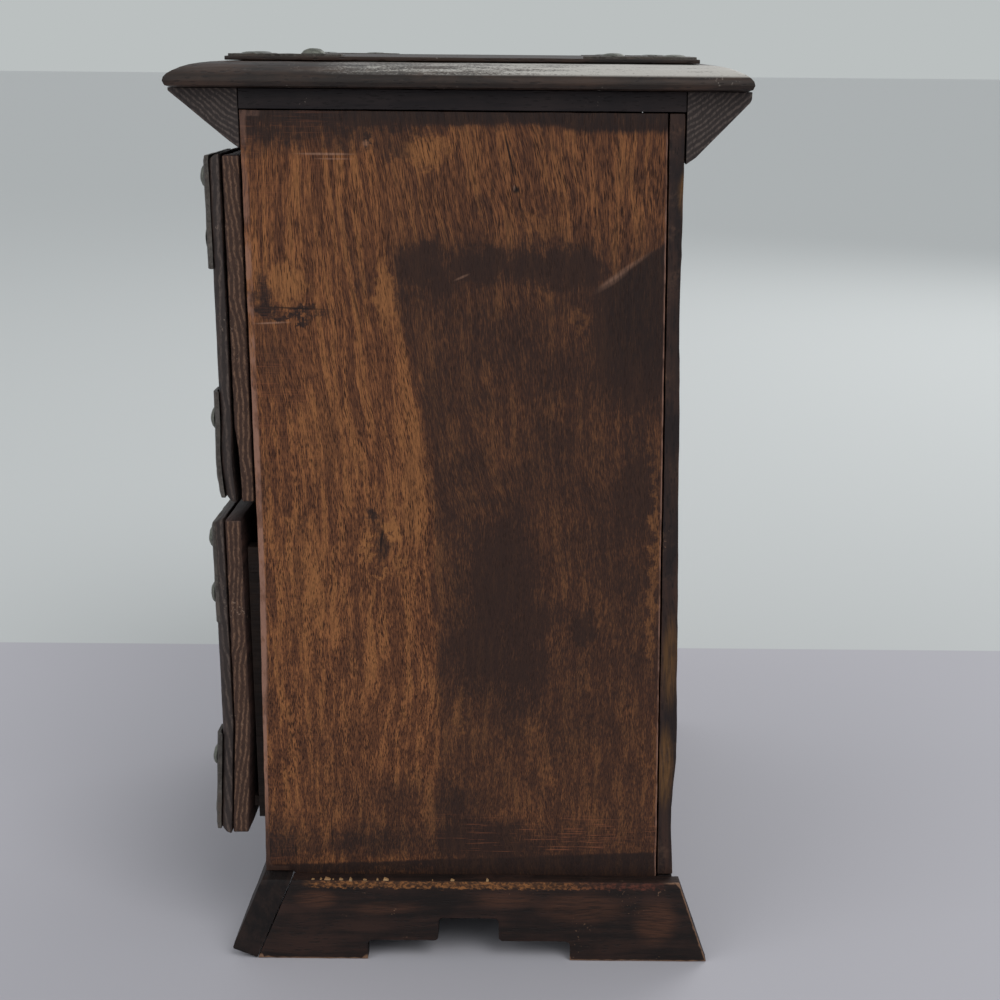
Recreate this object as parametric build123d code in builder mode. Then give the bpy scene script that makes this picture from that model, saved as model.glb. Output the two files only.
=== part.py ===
"""A small wooden jewellery chest with two drawers, iron corner plates and ring pulls.

Millimetres. +Z is up, the drawers open towards -Y, and X runs across the front.
The origin is on the floor, under the middle of the chest.
"""
import os
from math import cos, radians, sin, tan

from build123d import *

# Carcass: two side panels, a back board, a top, a shelf and a bottom
carcass_width = 224.0
carcass_depth = 151.0
carcass_shift = 0.8
panel_thick = 8.0
back_thick = 6.0
carcass_top_z = 324.0
carcass_top_thick = 7.0
shelf_thick = 7.0
shelf_z = 173.0
bottom_thick = 8.0
bottom_z = 44.0
housing_depth = 3.0
panel_foot_z = 20.0
rail_depth = 10.0
front_flare = 1.6
front_flare_z = 150.0
back_flare = 2.2
sill_back = 0.2

# Top: moulded board, cornice blocks and a thin raised panel
top_width = 236.0
top_depth = 196.8
top_thick = 8.6
nose_run = 17.0
nose_rise = 6.4
nose_under = 1.0
cornice_inset = 0.2
front_cornice_drop = 20.2
back_cornice_drop = 24.4
front_lip = 1.2
back_lip = 3.1
cornice_end_run = 2.8
cornice_end_drop = 2.6
raised_inset = (19.0, 17.0)
raised_thick = 1.8
raised_bevel = 1.2

# Base: a leaning board at the front, upright ones elsewhere, the side ones splayed at both ends
base_width = 236.0
base_height = 33.5
front_lean = 23.0
front_board_thick = 10.5
front_heel_y = -80.2
side_board_back = (78.3, 91.1)
step_levels = (8.0, 17.5)
side_step_half = (38.5, 11.3)
step_round = 1.6
front_step_half = (74.0, 46.0)
block_size = 14.0

# Drawers
front_width = 222.0
face_thick = 4.9
backing_thick = 6.7
face_round = 3.2
seam_bevel = 0.5
upper_front = (179.2, 303.0)
lower_front = (48.8, 173.2)
closed_gap = 0.2
lower_rest_open = 3.4
drawer_width = 206.0
drawer_length = 138.0
drawer_height = 108.0
drawer_wall = 6.0
drawer_floor = 4.0
groove_depth = 2.8
groove_lift = 3.0
drawer_lift = 0.3

# Iron corner plates and dome-headed nails
plate_leg = 39.0
plate_tip = 10.0
plate_waist = 15.0
plate_thick = 0.8
plate_edge = 1.4
nail_head = 8.4
nail_rise = 2.0
nail_shank = 1.2
nail_length = 4.5
shank_clearance = 0.05
corner_nail = (7.0, 7.5)
leg_nail = (28.5, 6.0)

# Ring pull: a clenched staple on a square plate, and a drop ring
pull_plate_half = 15.0
pull_plate_corner = 4.0
staple_bend = 2.6
staple_wire = 1.0
staple_stand = 1.6
staple_tail = 8.0
ring_radius = 12.0
ring_wire = 1.2

# Places worked out from the sizes above
half_width = carcass_width / 2
front_y = carcass_shift - carcass_depth / 2
back_y = carcass_shift + carcass_depth / 2
panel_back_y = back_y - back_thick
sill_y = front_y - front_flare
panel_top_z = carcass_top_z - carcass_top_thick
inner_half = half_width - panel_thick
top_face_z = carcass_top_z + top_thick
raised_face_z = top_face_z + raised_thick
base_half = base_width / 2
front_half = front_width / 2
shank_radius = nail_shank / 2
pilot_radius = shank_radius + shank_clearance
staple_hole = staple_wire + shank_clearance

os.makedirs("parts", exist_ok=True)


def save(builder, label):
    """Label a finished piece and write it under its own name."""
    builder.part.label = label
    export_step(builder.part, f"parts/{label}.step")


def box_between(low, high, mode=Mode.ADD):
    """A box from its lowest to its highest corner, added to the part being built."""
    middle = tuple((a + b) / 2 for a, b in zip(low, high))
    size = tuple(b - a for a, b in zip(low, high))
    with Locations(middle):
        Box(*size, mode=mode)


def prism_across(points, x_low, x_high, mode=Mode.ADD):
    """Extrude a closed outline of (y, z) points from x_low to x_high."""
    with BuildSketch(Plane.YZ.offset(x_low)) as section:
        with BuildLine():
            Polyline(*points, close=True)
        make_face()
    extrude(section.sketch, amount=x_high - x_low, mode=mode)


# The front base board leans out: its foot is cut square, so its heel stands on the floor, and its top level
lean = radians(front_lean)
heel = (front_heel_y, 0.0)
toe = (heel[0] - front_board_thick * cos(lean), front_board_thick * sin(lean))
front_top_outer = (toe[0] + (base_height - toe[1]) * tan(lean), base_height)
front_top_inner = (heel[0] + base_height * tan(lean), base_height)
front_board_outline = [heel, toe, front_top_outer, front_top_inner]


def back_line(z):
    """Where the side panels' rear edges stand at a height: the carcass deepens a little towards its foot."""
    return panel_back_y + back_flare * (panel_top_z - z) / (panel_top_z - panel_foot_z)


base_back_inner = back_line(panel_foot_z)
base_back_outer = back_line(base_height) + back_thick


def stepped_opening(plane, half_widths):
    """The foot cut-out: a wide low step with a narrower, higher one in the middle."""
    wide, narrow = half_widths
    low, high = step_levels
    below = -1.0
    with BuildSketch(plane) as opening:
        with BuildLine():
            Polyline(
                (-wide, below), (-wide, low), (-narrow, low), (-narrow, high),
                (narrow, high), (narrow, low), (wide, low), (wide, below),
                close=True,
            )
        make_face()
        fillet(opening.vertices().group_by(Axis.Y)[1:], radius=step_round)
    return opening.sketch


# Side panels, housed on their inner faces for the shelf and the bottom, their feet on the front base board
panel_outline = [
    (front_y, panel_top_z),
    (panel_back_y, panel_top_z),
    (base_back_inner, panel_foot_z),
    (front_top_inner[0], panel_foot_z),
    front_top_inner,
    (sill_y, base_height),
    (front_y, front_flare_z),
]
for side, sign in (("right", 1), ("left", -1)):
    outer, inner = sign * half_width, sign * inner_half
    with BuildPart() as side_panel:
        prism_across(panel_outline, min(outer, inner), max(outer, inner))
        for low_z, thick in ((shelf_z, shelf_thick), (bottom_z, bottom_thick)):
            cut = sign * (inner_half + housing_depth)
            box_between(
                (min(inner, cut), sill_y - 1, low_z),
                (max(inner, cut), base_back_inner + 1, low_z + thick),
                mode=Mode.SUBTRACT,
            )
        front_edges = side_panel.edges().filter_by(lambda edge: edge.center().Z > base_height + 1)
        front_edges = front_edges.filter_by(lambda edge: abs(abs(edge.center().X) - half_width) < 0.01)
        arris = front_edges.filter_by(lambda edge: edge.center().Y < front_y + 0.01 and edge.length > 20)
        fillet(arris, radius=0.8)
    save(side_panel, f"side_panel_{side}")

housed_half = inner_half + housing_depth
with BuildPart() as divider_shelf:
    shelf_top = shelf_z + shelf_thick
    box_between((-housed_half, front_y, shelf_z), (housed_half, back_line(shelf_top), shelf_top))
save(divider_shelf, "divider_shelf")

with BuildPart() as carcass_bottom:
    bottom_top = bottom_z + bottom_thick
    box_between((-housed_half, sill_y + sill_back, bottom_z), (housed_half, back_line(bottom_top), bottom_top))
save(carcass_bottom, "carcass_bottom")

with BuildPart() as front_rail:
    box_between((-inner_half, sill_y + sill_back, base_height), (inner_half, front_y + rail_depth, bottom_z))
save(front_rail, "front_rail")

with BuildPart() as carcass_top:
    box_between((-half_width, front_y, panel_top_z), (half_width, back_y, carcass_top_z))
save(carcass_top, "carcass_top")

back_board_outline = [
    (back_line(base_height), base_height),
    (base_back_outer, base_height),
    (back_y, panel_top_z),
    (panel_back_y, panel_top_z),
]
with BuildPart() as back_board:
    prism_across(back_board_outline, -half_width, half_width)
save(back_board, "back_board")

# Cornice: a block under the top's front and back overhang, with a short clipped lower end
cornice_half = top_depth / 2 - cornice_inset
front_cornice_outline = [
    (front_y, carcass_top_z),
    (-cornice_half, carcass_top_z),
    (-cornice_half, carcass_top_z - front_lip),
    (front_y - cornice_end_run, carcass_top_z - front_cornice_drop + cornice_end_drop),
    (front_y, carcass_top_z - front_cornice_drop),
]
back_cornice_low = carcass_top_z - back_cornice_drop
back_wall_y = back_line(back_cornice_low) + back_thick
back_cornice_outline = [
    (back_y, panel_top_z),
    (back_y, carcass_top_z),
    (cornice_half, carcass_top_z),
    (cornice_half, carcass_top_z - back_lip),
    (back_wall_y + cornice_end_run, back_cornice_low + cornice_end_drop),
    (back_wall_y, back_cornice_low),
]
with BuildPart() as front_cornice:
    prism_across(front_cornice_outline, -half_width, half_width)
save(front_cornice, "front_cornice")

with BuildPart() as back_cornice:
    prism_across(back_cornice_outline, -half_width, half_width)
save(back_cornice, "back_cornice")


def moulded_edge(half):
    """Close a top board section whose upper edges are quarter ellipses and lower ones small rounds."""
    shoulder_z = top_face_z - nose_rise
    under_z = carcass_top_z + nose_under
    with BuildLine() as outline:
        Line((-half + nose_under, carcass_top_z), (half - nose_under, carcass_top_z))
        RadiusArc((half - nose_under, carcass_top_z), (half, under_z), -nose_under)
        Line((half, under_z), (half, shoulder_z))
        EllipticalCenterArc((half - nose_run, shoulder_z), nose_run, nose_rise, start_angle=0, arc_size=90)
        Line((half - nose_run, top_face_z), (-half + nose_run, top_face_z))
        EllipticalCenterArc((-half + nose_run, shoulder_z), nose_run, nose_rise, start_angle=90, arc_size=90)
        Line((-half, shoulder_z), (-half, under_z))
        RadiusArc((-half, under_z), (-half + nose_under, carcass_top_z), -nose_under)
    make_face(outline.edges())


# Nails: one near each plate's corner and one on each of its legs
nail_places = [corner_nail, leg_nail, leg_nail[::-1]]
corner_signs = [(-1, -1), (1, -1), (1, 1), (-1, 1)]


def nail_spots(half_x, half_y):
    """The twelve nail places on four corner plates that fill a rectangle's corners."""
    return [(sx * (half_x - dx), sy * (half_y - dy)) for sx, sy in corner_signs for dx, dy in nail_places]


raised_half_x = top_width / 2 - raised_inset[0]
raised_half_y = top_depth / 2 - raised_inset[1]
top_plate_half_x = raised_half_x - raised_bevel
top_plate_half_y = raised_half_y - raised_bevel
top_nails = nail_spots(top_plate_half_x, top_plate_half_y)

with BuildPart() as top_board:
    with BuildSketch(Plane.YZ.offset(-top_width / 2)):
        moulded_edge(top_depth / 2)
    extrude(amount=top_width)
    with BuildSketch(Plane.XZ.offset(-top_depth / 2)):
        moulded_edge(top_width / 2)
    extrude(amount=top_depth, mode=Mode.INTERSECT)
    pilot_depth = nail_length - plate_thick - raised_thick + 0.2
    with BuildSketch(Plane.XY.offset(top_face_z)):
        with Locations(*top_nails):
            Circle(pilot_radius)
    extrude(amount=-pilot_depth, mode=Mode.SUBTRACT)
save(top_board, "top_board")

with BuildPart() as raised_top_panel:
    box_between((-raised_half_x, -raised_half_y, top_face_z), (raised_half_x, raised_half_y, raised_face_z))
    chamfer(raised_top_panel.faces().sort_by(Axis.Z)[-1].edges(), length=raised_bevel)
    with BuildSketch(Plane.XY.offset(raised_face_z)):
        with Locations(*top_nails):
            Circle(pilot_radius)
    extrude(amount=-raised_thick, mode=Mode.SUBTRACT)
save(raised_top_panel, "raised_top_panel")


def corner_plate_face(sx, sy, half_x, half_y):
    """One corner plate's outline: two legs with square tips joined by a hollow curve."""
    def at(dx, dy):
        return (sx * (half_x - dx), sy * (half_y - dy))

    with BuildLine() as outline:
        Polyline(at(plate_leg, plate_tip), at(plate_leg, 0), at(0, 0), at(0, plate_leg), at(plate_tip, plate_leg))
        ThreePointArc(at(plate_tip, plate_leg), at(plate_waist, plate_waist), at(plate_leg, plate_tip))
    make_face(outline.edges())


def corner_plates_on(plane, half_x, half_y, nails):
    """Four nailed plates of sheet iron standing on a plane's positive side."""
    with BuildPart() as plates:
        with BuildSketch(plane):
            for sx, sy in corner_signs:
                corner_plate_face(sx, sy, half_x, half_y)
            with Locations(*nails):
                Circle(pilot_radius, mode=Mode.SUBTRACT)
        extrude(amount=plate_thick)
    return plates


def dome_nails_on(plane, nails):
    """Dome-headed nails whose heads stand on a plane and whose shanks go down through it."""
    cap_radius = (nail_head ** 2 / 4 + nail_rise ** 2) / (2 * nail_rise)
    with BuildPart() as dome_nails:
        for spot in nails:
            at = plane.from_local_coords(Vector(spot[0], spot[1], 0))
            section = Plane(origin=at, x_dir=plane.x_dir, z_dir=plane.z_dir.cross(plane.x_dir) * -1)
            with BuildSketch(section):
                with BuildLine():
                    ThreePointArc(
                        (0, nail_rise),
                        (cap_radius * sin(0.3), nail_rise - cap_radius * (1 - cos(0.3))),
                        (nail_head / 2, 0),
                    )
                    Polyline((nail_head / 2, 0), (shank_radius, 0), (shank_radius, -nail_length),
                             (0, -nail_length), (0, nail_rise))
                make_face()
            revolve(axis=Axis(at, plane.z_dir))
    return dome_nails


top_plates_plane = Plane.XY.offset(raised_face_z)
top_corner_plates = corner_plates_on(top_plates_plane, top_plate_half_x, top_plate_half_y, top_nails)
save(top_corner_plates, "top_corner_plates")

top_dome_nails = dome_nails_on(top_plates_plane.offset(plate_thick), top_nails)
save(top_dome_nails, "top_dome_nails")

# Base
with BuildPart() as front_base_board:
    prism_across(front_board_outline, -base_half, base_half)
    front_opening = stepped_opening(Plane.XZ.offset(-front_top_inner[0] - 1), front_step_half)
    extrude(front_opening, amount=front_top_inner[0] - toe[0] + 2, mode=Mode.SUBTRACT)
save(front_base_board, "front_base_board")

with BuildPart() as back_base_board:
    box_between((-half_width, base_back_inner, 0.0), (half_width, base_back_outer, base_height))
    back_opening = stepped_opening(Plane.XZ.offset(-base_back_outer - 1), front_step_half)
    extrude(back_opening, amount=base_back_outer - base_back_inner + 2, mode=Mode.SUBTRACT)
save(back_base_board, "back_base_board")

side_top_back, side_foot_back = side_board_back
side_board_outline = [heel, front_top_inner, (side_top_back, base_height), (side_foot_back, 0.0)]
for side, sign in (("right", 1), ("left", -1)):
    low_x, high_x = sorted((sign * half_width, sign * base_half))
    with BuildPart() as side_base_board:
        prism_across(side_board_outline, low_x, high_x)
        opening_plane = Plane(origin=(low_x - 1, carcass_shift, 0), x_dir=(0, 1, 0), z_dir=(1, 0, 0))
        side_opening = stepped_opening(opening_plane, side_step_half)
        extrude(side_opening, amount=high_x - low_x + 2, mode=Mode.SUBTRACT)
        top_arris = side_base_board.faces().sort_by(Axis.Z)[-1].edges().sort_by(Axis.X)
        chamfer(top_arris[-1] if sign > 0 else top_arris[0], length=0.8)
    save(side_base_board, f"side_base_board_{side}")

with BuildPart() as base_corner_blocks:
    for sign in (1, -1):
        low_x, high_x = sorted((sign * inner_half, sign * (inner_half - block_size)))
        for low_y in (front_y + rail_depth, back_line(bottom_z) - block_size):
            box_between((low_x, low_y, panel_foot_z + 2), (high_x, low_y + block_size, bottom_z))
save(base_corner_blocks, "base_corner_blocks")


def build_drawer(name, front_span, floor_z, closed_y, rest_open):
    """One drawer: a two-layer front with its iron, and a grooved box behind it."""
    low_z, high_z = front_span
    middle_z = (low_z + high_z) / 2
    half_height = (high_z - low_z) / 2
    box_y = closed_y - closed_gap - rest_open
    seam_y = box_y - backing_thick
    face_y = seam_y - face_thick
    rear_y = box_y + drawer_length
    outer_half = drawer_width / 2
    inner_wall = outer_half - drawer_wall
    floor_low = floor_z + groove_lift
    floor_high = floor_low + drawer_floor
    face_plane = Plane(origin=(0, face_y, middle_z), x_dir=(1, 0, 0), z_dir=(0, -1, 0))
    plate_half_x = front_half - plate_edge
    plate_half_z = half_height - plate_edge
    nails = nail_spots(plate_half_x, plate_half_z)
    legs = [(0, staple_bend), (0, -staple_bend)]

    with BuildPart() as front_panel:
        box_between((-front_half, face_y, low_z), (front_half, seam_y, high_z))
        fillet(front_panel.faces().sort_by(Axis.Y)[0].edges(), radius=face_round)
        chamfer(front_panel.faces().sort_by(Axis.Y)[-1].edges(), length=seam_bevel)
        with BuildSketch(face_plane):
            with Locations(*nails):
                Circle(pilot_radius)
        extrude(amount=-(nail_length - plate_thick + 0.2), mode=Mode.SUBTRACT)
        with BuildSketch(face_plane):
            with Locations(*legs):
                Circle(staple_hole)
        extrude(amount=-face_thick, mode=Mode.SUBTRACT)
    save(front_panel, f"{name}_front_panel")

    with BuildPart() as front_backing:
        box_between((-front_half, seam_y, low_z), (front_half, box_y, high_z))
        chamfer(front_backing.faces().sort_by(Axis.Y)[0].edges(), length=seam_bevel)
        box_between(
            (-inner_wall - groove_depth, box_y - groove_depth, floor_low),
            (inner_wall + groove_depth, box_y + 1, floor_high),
            mode=Mode.SUBTRACT,
        )
        with BuildSketch(face_plane.offset(-face_thick)):
            with Locations(*legs):
                Circle(staple_hole)
        extrude(amount=-backing_thick, mode=Mode.SUBTRACT)
    save(front_backing, f"{name}_front_backing")

    for side, sign in (("right", 1), ("left", -1)):
        low_x, high_x = sorted((sign * outer_half, sign * inner_wall))
        groove_low, groove_high = sorted((sign * (inner_wall - 1), sign * (inner_wall + groove_depth)))
        with BuildPart() as drawer_side:
            box_between((low_x, box_y, floor_z), (high_x, rear_y, floor_z + drawer_height))
            box_between(
                (groove_low, box_y - 1, floor_low),
                (groove_high, rear_y - drawer_wall + groove_depth, floor_high),
                mode=Mode.SUBTRACT,
            )
        save(drawer_side, f"{name}_side_{side}")

    with BuildPart() as drawer_back:
        box_between((-inner_wall, rear_y - drawer_wall, floor_z), (inner_wall, rear_y, floor_z + drawer_height))
        box_between(
            (-inner_wall - 1, rear_y - drawer_wall - 1, floor_low),
            (inner_wall + 1, rear_y - drawer_wall + groove_depth, floor_high),
            mode=Mode.SUBTRACT,
        )
    save(drawer_back, f"{name}_back")

    with BuildPart() as drawer_bottom:
        box_between(
            (-inner_wall - groove_depth, box_y - groove_depth, floor_low),
            (inner_wall + groove_depth, rear_y - drawer_wall + groove_depth, floor_high),
        )
    save(drawer_bottom, f"{name}_bottom")

    save(corner_plates_on(face_plane, plate_half_x, plate_half_z, nails), f"{name}_corner_plates")
    save(dome_nails_on(face_plane.offset(plate_thick), nails), f"{name}_dome_nails")

    with BuildPart() as pull_plate:
        with BuildSketch(face_plane):
            diamond = Rectangle(2 * pull_plate_half, 2 * pull_plate_half, rotation=45)
            chamfer(diamond.vertices(), length=pull_plate_corner)
            with Locations(*legs):
                Circle(staple_hole, mode=Mode.SUBTRACT)
        extrude(amount=plate_thick)
    save(pull_plate, f"{name}_pull_plate")

    pivot_y = face_y - plate_thick - staple_stand
    tail_y = box_y + staple_wire
    with BuildPart() as pull_staple:
        with BuildLine() as bent_wire:
            Polyline(
                (0, tail_y, middle_z + staple_bend + staple_tail),
                (0, tail_y, middle_z + staple_bend),
                (0, pivot_y, middle_z + staple_bend),
            )
            ThreePointArc(
                (0, pivot_y, middle_z + staple_bend),
                (0, pivot_y - staple_bend, middle_z),
                (0, pivot_y, middle_z - staple_bend),
            )
            Polyline(
                (0, pivot_y, middle_z - staple_bend),
                (0, tail_y, middle_z - staple_bend),
                (0, tail_y, middle_z - staple_bend - staple_tail),
            )
        with BuildSketch(Plane(origin=bent_wire.line @ 0, z_dir=bent_wire.line % 0)):
            Circle(staple_wire)
        sweep(path=bent_wire.line, transition=Transition.RIGHT)
    save(pull_staple, f"{name}_pull_staple")

    with BuildPart() as pull_ring:
        with BuildSketch(Plane(origin=(ring_radius, pivot_y, middle_z - ring_radius), z_dir=(0, 0, 1))):
            Circle(ring_wire)
        revolve(axis=Axis((0, pivot_y, middle_z - ring_radius), (0, 1, 0)))
    save(pull_ring, f"{name}_pull_ring")
    print(f"{name}: face at y {face_y:.1f}, pull pivot at y {pivot_y:.2f}, z {middle_z:.2f}")


build_drawer("upper_drawer", upper_front, shelf_z + shelf_thick + drawer_lift, front_y, 0.0)
build_drawer("lower_drawer", lower_front, bottom_z + bottom_thick + drawer_lift, sill_y, lower_rest_open)
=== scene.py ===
import math

import bmesh
import bpy
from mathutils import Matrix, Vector, kdtree


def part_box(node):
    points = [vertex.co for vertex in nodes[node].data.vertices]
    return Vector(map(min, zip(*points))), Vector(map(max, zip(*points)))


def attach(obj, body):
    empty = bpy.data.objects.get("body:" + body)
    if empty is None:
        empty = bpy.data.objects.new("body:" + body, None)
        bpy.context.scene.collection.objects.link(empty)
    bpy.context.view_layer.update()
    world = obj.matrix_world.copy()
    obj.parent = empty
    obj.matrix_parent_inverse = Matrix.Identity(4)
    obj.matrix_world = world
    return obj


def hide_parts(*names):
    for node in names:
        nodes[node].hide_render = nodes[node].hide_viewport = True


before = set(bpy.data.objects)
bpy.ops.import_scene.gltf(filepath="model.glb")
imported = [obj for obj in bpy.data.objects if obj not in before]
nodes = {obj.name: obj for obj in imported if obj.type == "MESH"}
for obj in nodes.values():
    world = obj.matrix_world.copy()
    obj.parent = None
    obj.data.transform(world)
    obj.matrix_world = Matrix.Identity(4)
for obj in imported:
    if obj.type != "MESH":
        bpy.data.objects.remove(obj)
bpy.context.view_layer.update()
mm = 0.001
weldGap = 0.00001                   # in metres, as Blender takes it
sharpAngle = math.radians(32)       # sharper edges are rounded and worn
smoothAngle = math.radians(38)      # flatter edges are shaded smooth
print("frame loaded,", len(nodes), "nodes")


# Small helpers for modelling

def deselectAll():
    if bpy.context.mode != "OBJECT":
        bpy.ops.object.mode_set(mode="OBJECT")
    bpy.ops.object.select_all(action="DESELECT")


def choose(piece):
    deselectAll()
    piece.select_set(True)
    bpy.context.view_layer.objects.active = piece


def editOn(piece):
    choose(piece)
    bpy.ops.object.mode_set(mode="EDIT")
    bpy.ops.mesh.select_all(action="SELECT")


def editOff():
    bpy.ops.object.mode_set(mode="OBJECT")


def takeName(name):
    piece = bpy.context.object
    piece.name = name
    piece.data.name = name
    return piece


def applyPlace(piece):
    choose(piece)
    bpy.ops.object.transform_apply(location=True, rotation=True, scale=True)


def standAt(piece, turn, place):
    # turns the piece about the origin, then moves it to a place in millimetres
    piece.rotation_euler = turn
    piece.location = [v * mm for v in place]
    applyPlace(piece)


def startBlock(name, low, high):
    # low and high corners in millimetres
    deselectAll()
    size = [(b - a) * mm for a, b in zip(low, high)]
    middle = [(a + b) / 2 * mm for a, b in zip(low, high)]
    bpy.ops.mesh.primitive_cube_add(size=1, location=middle, scale=size)
    piece = takeName(name)
    applyPlace(piece)
    return piece


def startSheet(name, middle, size):
    # a flat rectangle facing up, its middle and size in millimetres
    deselectAll()
    bpy.ops.mesh.primitive_plane_add(size=1, location=[v * mm for v in middle])
    piece = takeName(name)
    piece.scale = (size[0] * mm, size[1] * mm, 1)
    applyPlace(piece)
    return piece


def boxOf(node):
    # a CAD node's corners in millimetres
    low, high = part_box(node)
    return [v / mm for v in low], [v / mm for v in high]


def pick(piece, kind, test):
    # selects the vertices, edges or faces that pass the test, which is given their middle in millimetres,
    # and the direction of an edge or the normal of a face
    bpy.ops.mesh.select_mode(type=kind)
    bpy.ops.mesh.select_all(action="DESELECT")
    mesh = bmesh.from_edit_mesh(piece.data)
    if kind == "VERT":
        for vertex in mesh.verts:
            vertex.select_set(bool(test(vertex.co / mm)))
    elif kind == "EDGE":
        for edge in mesh.edges:
            start, end = edge.verts[0].co, edge.verts[1].co
            if test((start + end) / 2 / mm, (end - start).normalized()):
                edge.select_set(True)
    else:
        for face in mesh.faces:
            if test(face.calc_center_median() / mm, face.normal):
                face.select_set(True)
    mesh.select_flush_mode()
    bmesh.update_edit_mesh(piece.data)


def near(a, b, slack=0.05):
    return abs(a - b) < slack


def along(axis, length):
    # a step along x, y or z
    return [length if name == axis else 0 for name in "xyz"]


def moveBy(x, y, z):
    bpy.ops.transform.translate(value=(x * mm, y * mm, z * mm))


def drag(piece, test, x, y, z):
    pick(piece, "VERT", test)
    moveBy(x, y, z)


def scaleBy(x, y):
    bpy.ops.transform.resize(value=(x, y, 1), center_override=(0, 0, 0))


def extrudeBy(x, y, z):
    bpy.ops.mesh.extrude_region_move(TRANSFORM_OT_translate={"value": (x * mm, y * mm, z * mm)})


def bevelBy(width, segments=4, affect="EDGES"):
    bpy.ops.mesh.bevel(offset=width * mm, segments=segments, affect=affect)


def cutAt(axis, place, **settings):
    # one cut right through what is being edited, at a place along x, y or z
    bpy.ops.mesh.select_all(action="SELECT")
    bpy.ops.mesh.bisect(plane_co=along(axis, place * mm), plane_no=along(axis, 1), **settings)


def sliceUp(piece, cells):
    # even cuts along x, y and z, so that dents and bends have something to move
    corners = [Vector(corner) / mm for corner in piece.bound_box]
    editOn(piece)
    for axis, places, cell in zip("xyz", zip(*corners), cells):
        if cell:
            low, high = min(places), max(places)
            count = max(1, round((high - low) / cell))
            for step in range(1, count):
                cutAt(axis, low + (high - low) * step / count)
    editOff()


def modify(piece, kind, **settings):
    choose(piece)
    modifier = piece.modifiers.new(kind.lower(), kind)
    for key, value in settings.items():
        setattr(modifier, key, value)
    bpy.ops.object.modifier_apply(modifier=modifier.name)


def roundEdges(piece, width, segments):
    modify(
        piece, "BEVEL", width=width * mm, segments=segments, limit_method="ANGLE",
        angle_limit=sharpAngle, use_clamp_overlap=True, miter_outer="MITER_ARC",
    )


def sharpPoints(piece):
    # points a millimetre apart along the sharp edges, kept from before they are rounded
    mesh = bmesh.new()
    mesh.from_mesh(piece.data)
    points = []
    for edge in mesh.edges:
        if len(edge.link_faces) == 2 and edge.calc_face_angle(0) > sharpAngle:
            start, end = edge.verts[0].co, edge.verts[1].co
            count = max(1, int((end - start).length / mm))
            points += [start.lerp(end, step / count) for step in range(count + 1)]
    mesh.free()
    return points


def weigh(piece, name, weights):
    # a vertex group with a weight for each vertex
    group = piece.vertex_groups.new(name=name)
    for index, weight in enumerate(weights):
        if weight > 0:
            group.add([index], min(1.0, weight), "REPLACE")


def markArris(piece, points, reach):
    # the attribute and vertex group "arris" are 1 on a worn edge and 0 beyond its reach
    tree = kdtree.KDTree(len(points))
    for index, point in enumerate(points):
        tree.insert(point, index)
    tree.balance()
    values = [max(0.0, 1.0 - tree.find(vertex.co)[2] / mm / reach) for vertex in piece.data.vertices]
    piece.data.attributes.new("arris", "FLOAT", "POINT").data.foreach_set("value", values)
    weigh(piece, "arris", values)


def dent(piece, size, depth, group=""):
    # presses soft hollows into the piece, never outwards
    texture = bpy.data.textures.new(f"{piece.name}Dents{size}", "CLOUDS")
    texture.noise_scale = size * mm
    texture.noise_depth = 2
    modify(
        piece, "DISPLACE", texture=texture, strength=depth * mm, mid_level=1.0,
        texture_coords="LOCAL", vertex_group=group,
    )


def bend(piece, shape, depth):
    # moves the piece along y by depth times what shape gives for each vertex
    weigh(piece, "bend", [shape(vertex.co / mm) for vertex in piece.data.vertices])
    modify(piece, "DISPLACE", direction="Y", strength=depth * mm, mid_level=0.0, vertex_group="bend")
    piece.vertex_groups.remove(piece.vertex_groups["bend"])


def wear(piece, look, points=None):
    # rounds the arrises, cuts the faces up, and dents and chips them; dents and chips are size and depth
    points = points or sharpPoints(piece)
    if "round" in look:
        roundEdges(piece, look["round"], look.get("segments", 3))
    sliceUp(piece, look["cells"])
    markArris(piece, points, look["reach"])
    dent(piece, *look["dents"])
    if "chips" in look:
        dent(piece, *look["chips"], "arris")


def joinAll(pieces, name):
    choose(pieces[0])
    for piece in pieces[1:]:
        piece.select_set(True)
    bpy.ops.object.join()
    return takeName(name)


def copyOf(piece, name):
    copied = piece.copy()
    copied.data = piece.data.copy()
    bpy.context.collection.objects.link(copied)
    copied.name = name
    copied.data.name = name
    return copied


def facesOut(piece):
    editOn(piece)
    bpy.ops.mesh.remove_doubles(threshold=weldGap)
    bpy.ops.mesh.normals_make_consistent(inside=False)
    editOff()


def mirrored(piece, name):
    # its twin on the other side
    twin = copyOf(piece, name)
    twin.scale.x = -1
    applyPlace(twin)
    facesOut(twin)
    return twin


def settle(piece, finish, *replaced, body="carcass", slot="dark_wood"):
    # the last step for every piece: smooth shading, material, body and the nodes it stands for
    choose(piece)
    bpy.ops.object.shade_smooth_by_angle(angle=smoothAngle)
    piece.data.materials.clear()
    piece.data.materials.append(bpy.data.materials[finish])
    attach(piece, body)
    if replaced:
        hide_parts(*replaced)


# Small helpers for materials

class Field:
    # a socket in a node tree, whose plain sums add Math nodes
    def __init__(self, tree, socket):
        self.tree = tree
        self.socket = socket

    def __add__(self, other):
        return mathOf("ADD", self, other)

    def __sub__(self, other):
        return mathOf("SUBTRACT", self, other)

    def __rsub__(self, other):
        return mathOf("SUBTRACT", other, self)

    def __mul__(self, other):
        return mathOf("MULTIPLY", self, other)

    def __truediv__(self, other):
        return mathOf("DIVIDE", self, other)


def paint(red, green, blue):
    # a colour as it is seen, 0 to 255
    parts = [c / 255 for c in (red, green, blue)]
    return tuple(c / 12.92 if c <= 0.04045 else ((c + 0.055) / 1.055) ** 2.4 for c in parts) + (1.0,)


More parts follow.
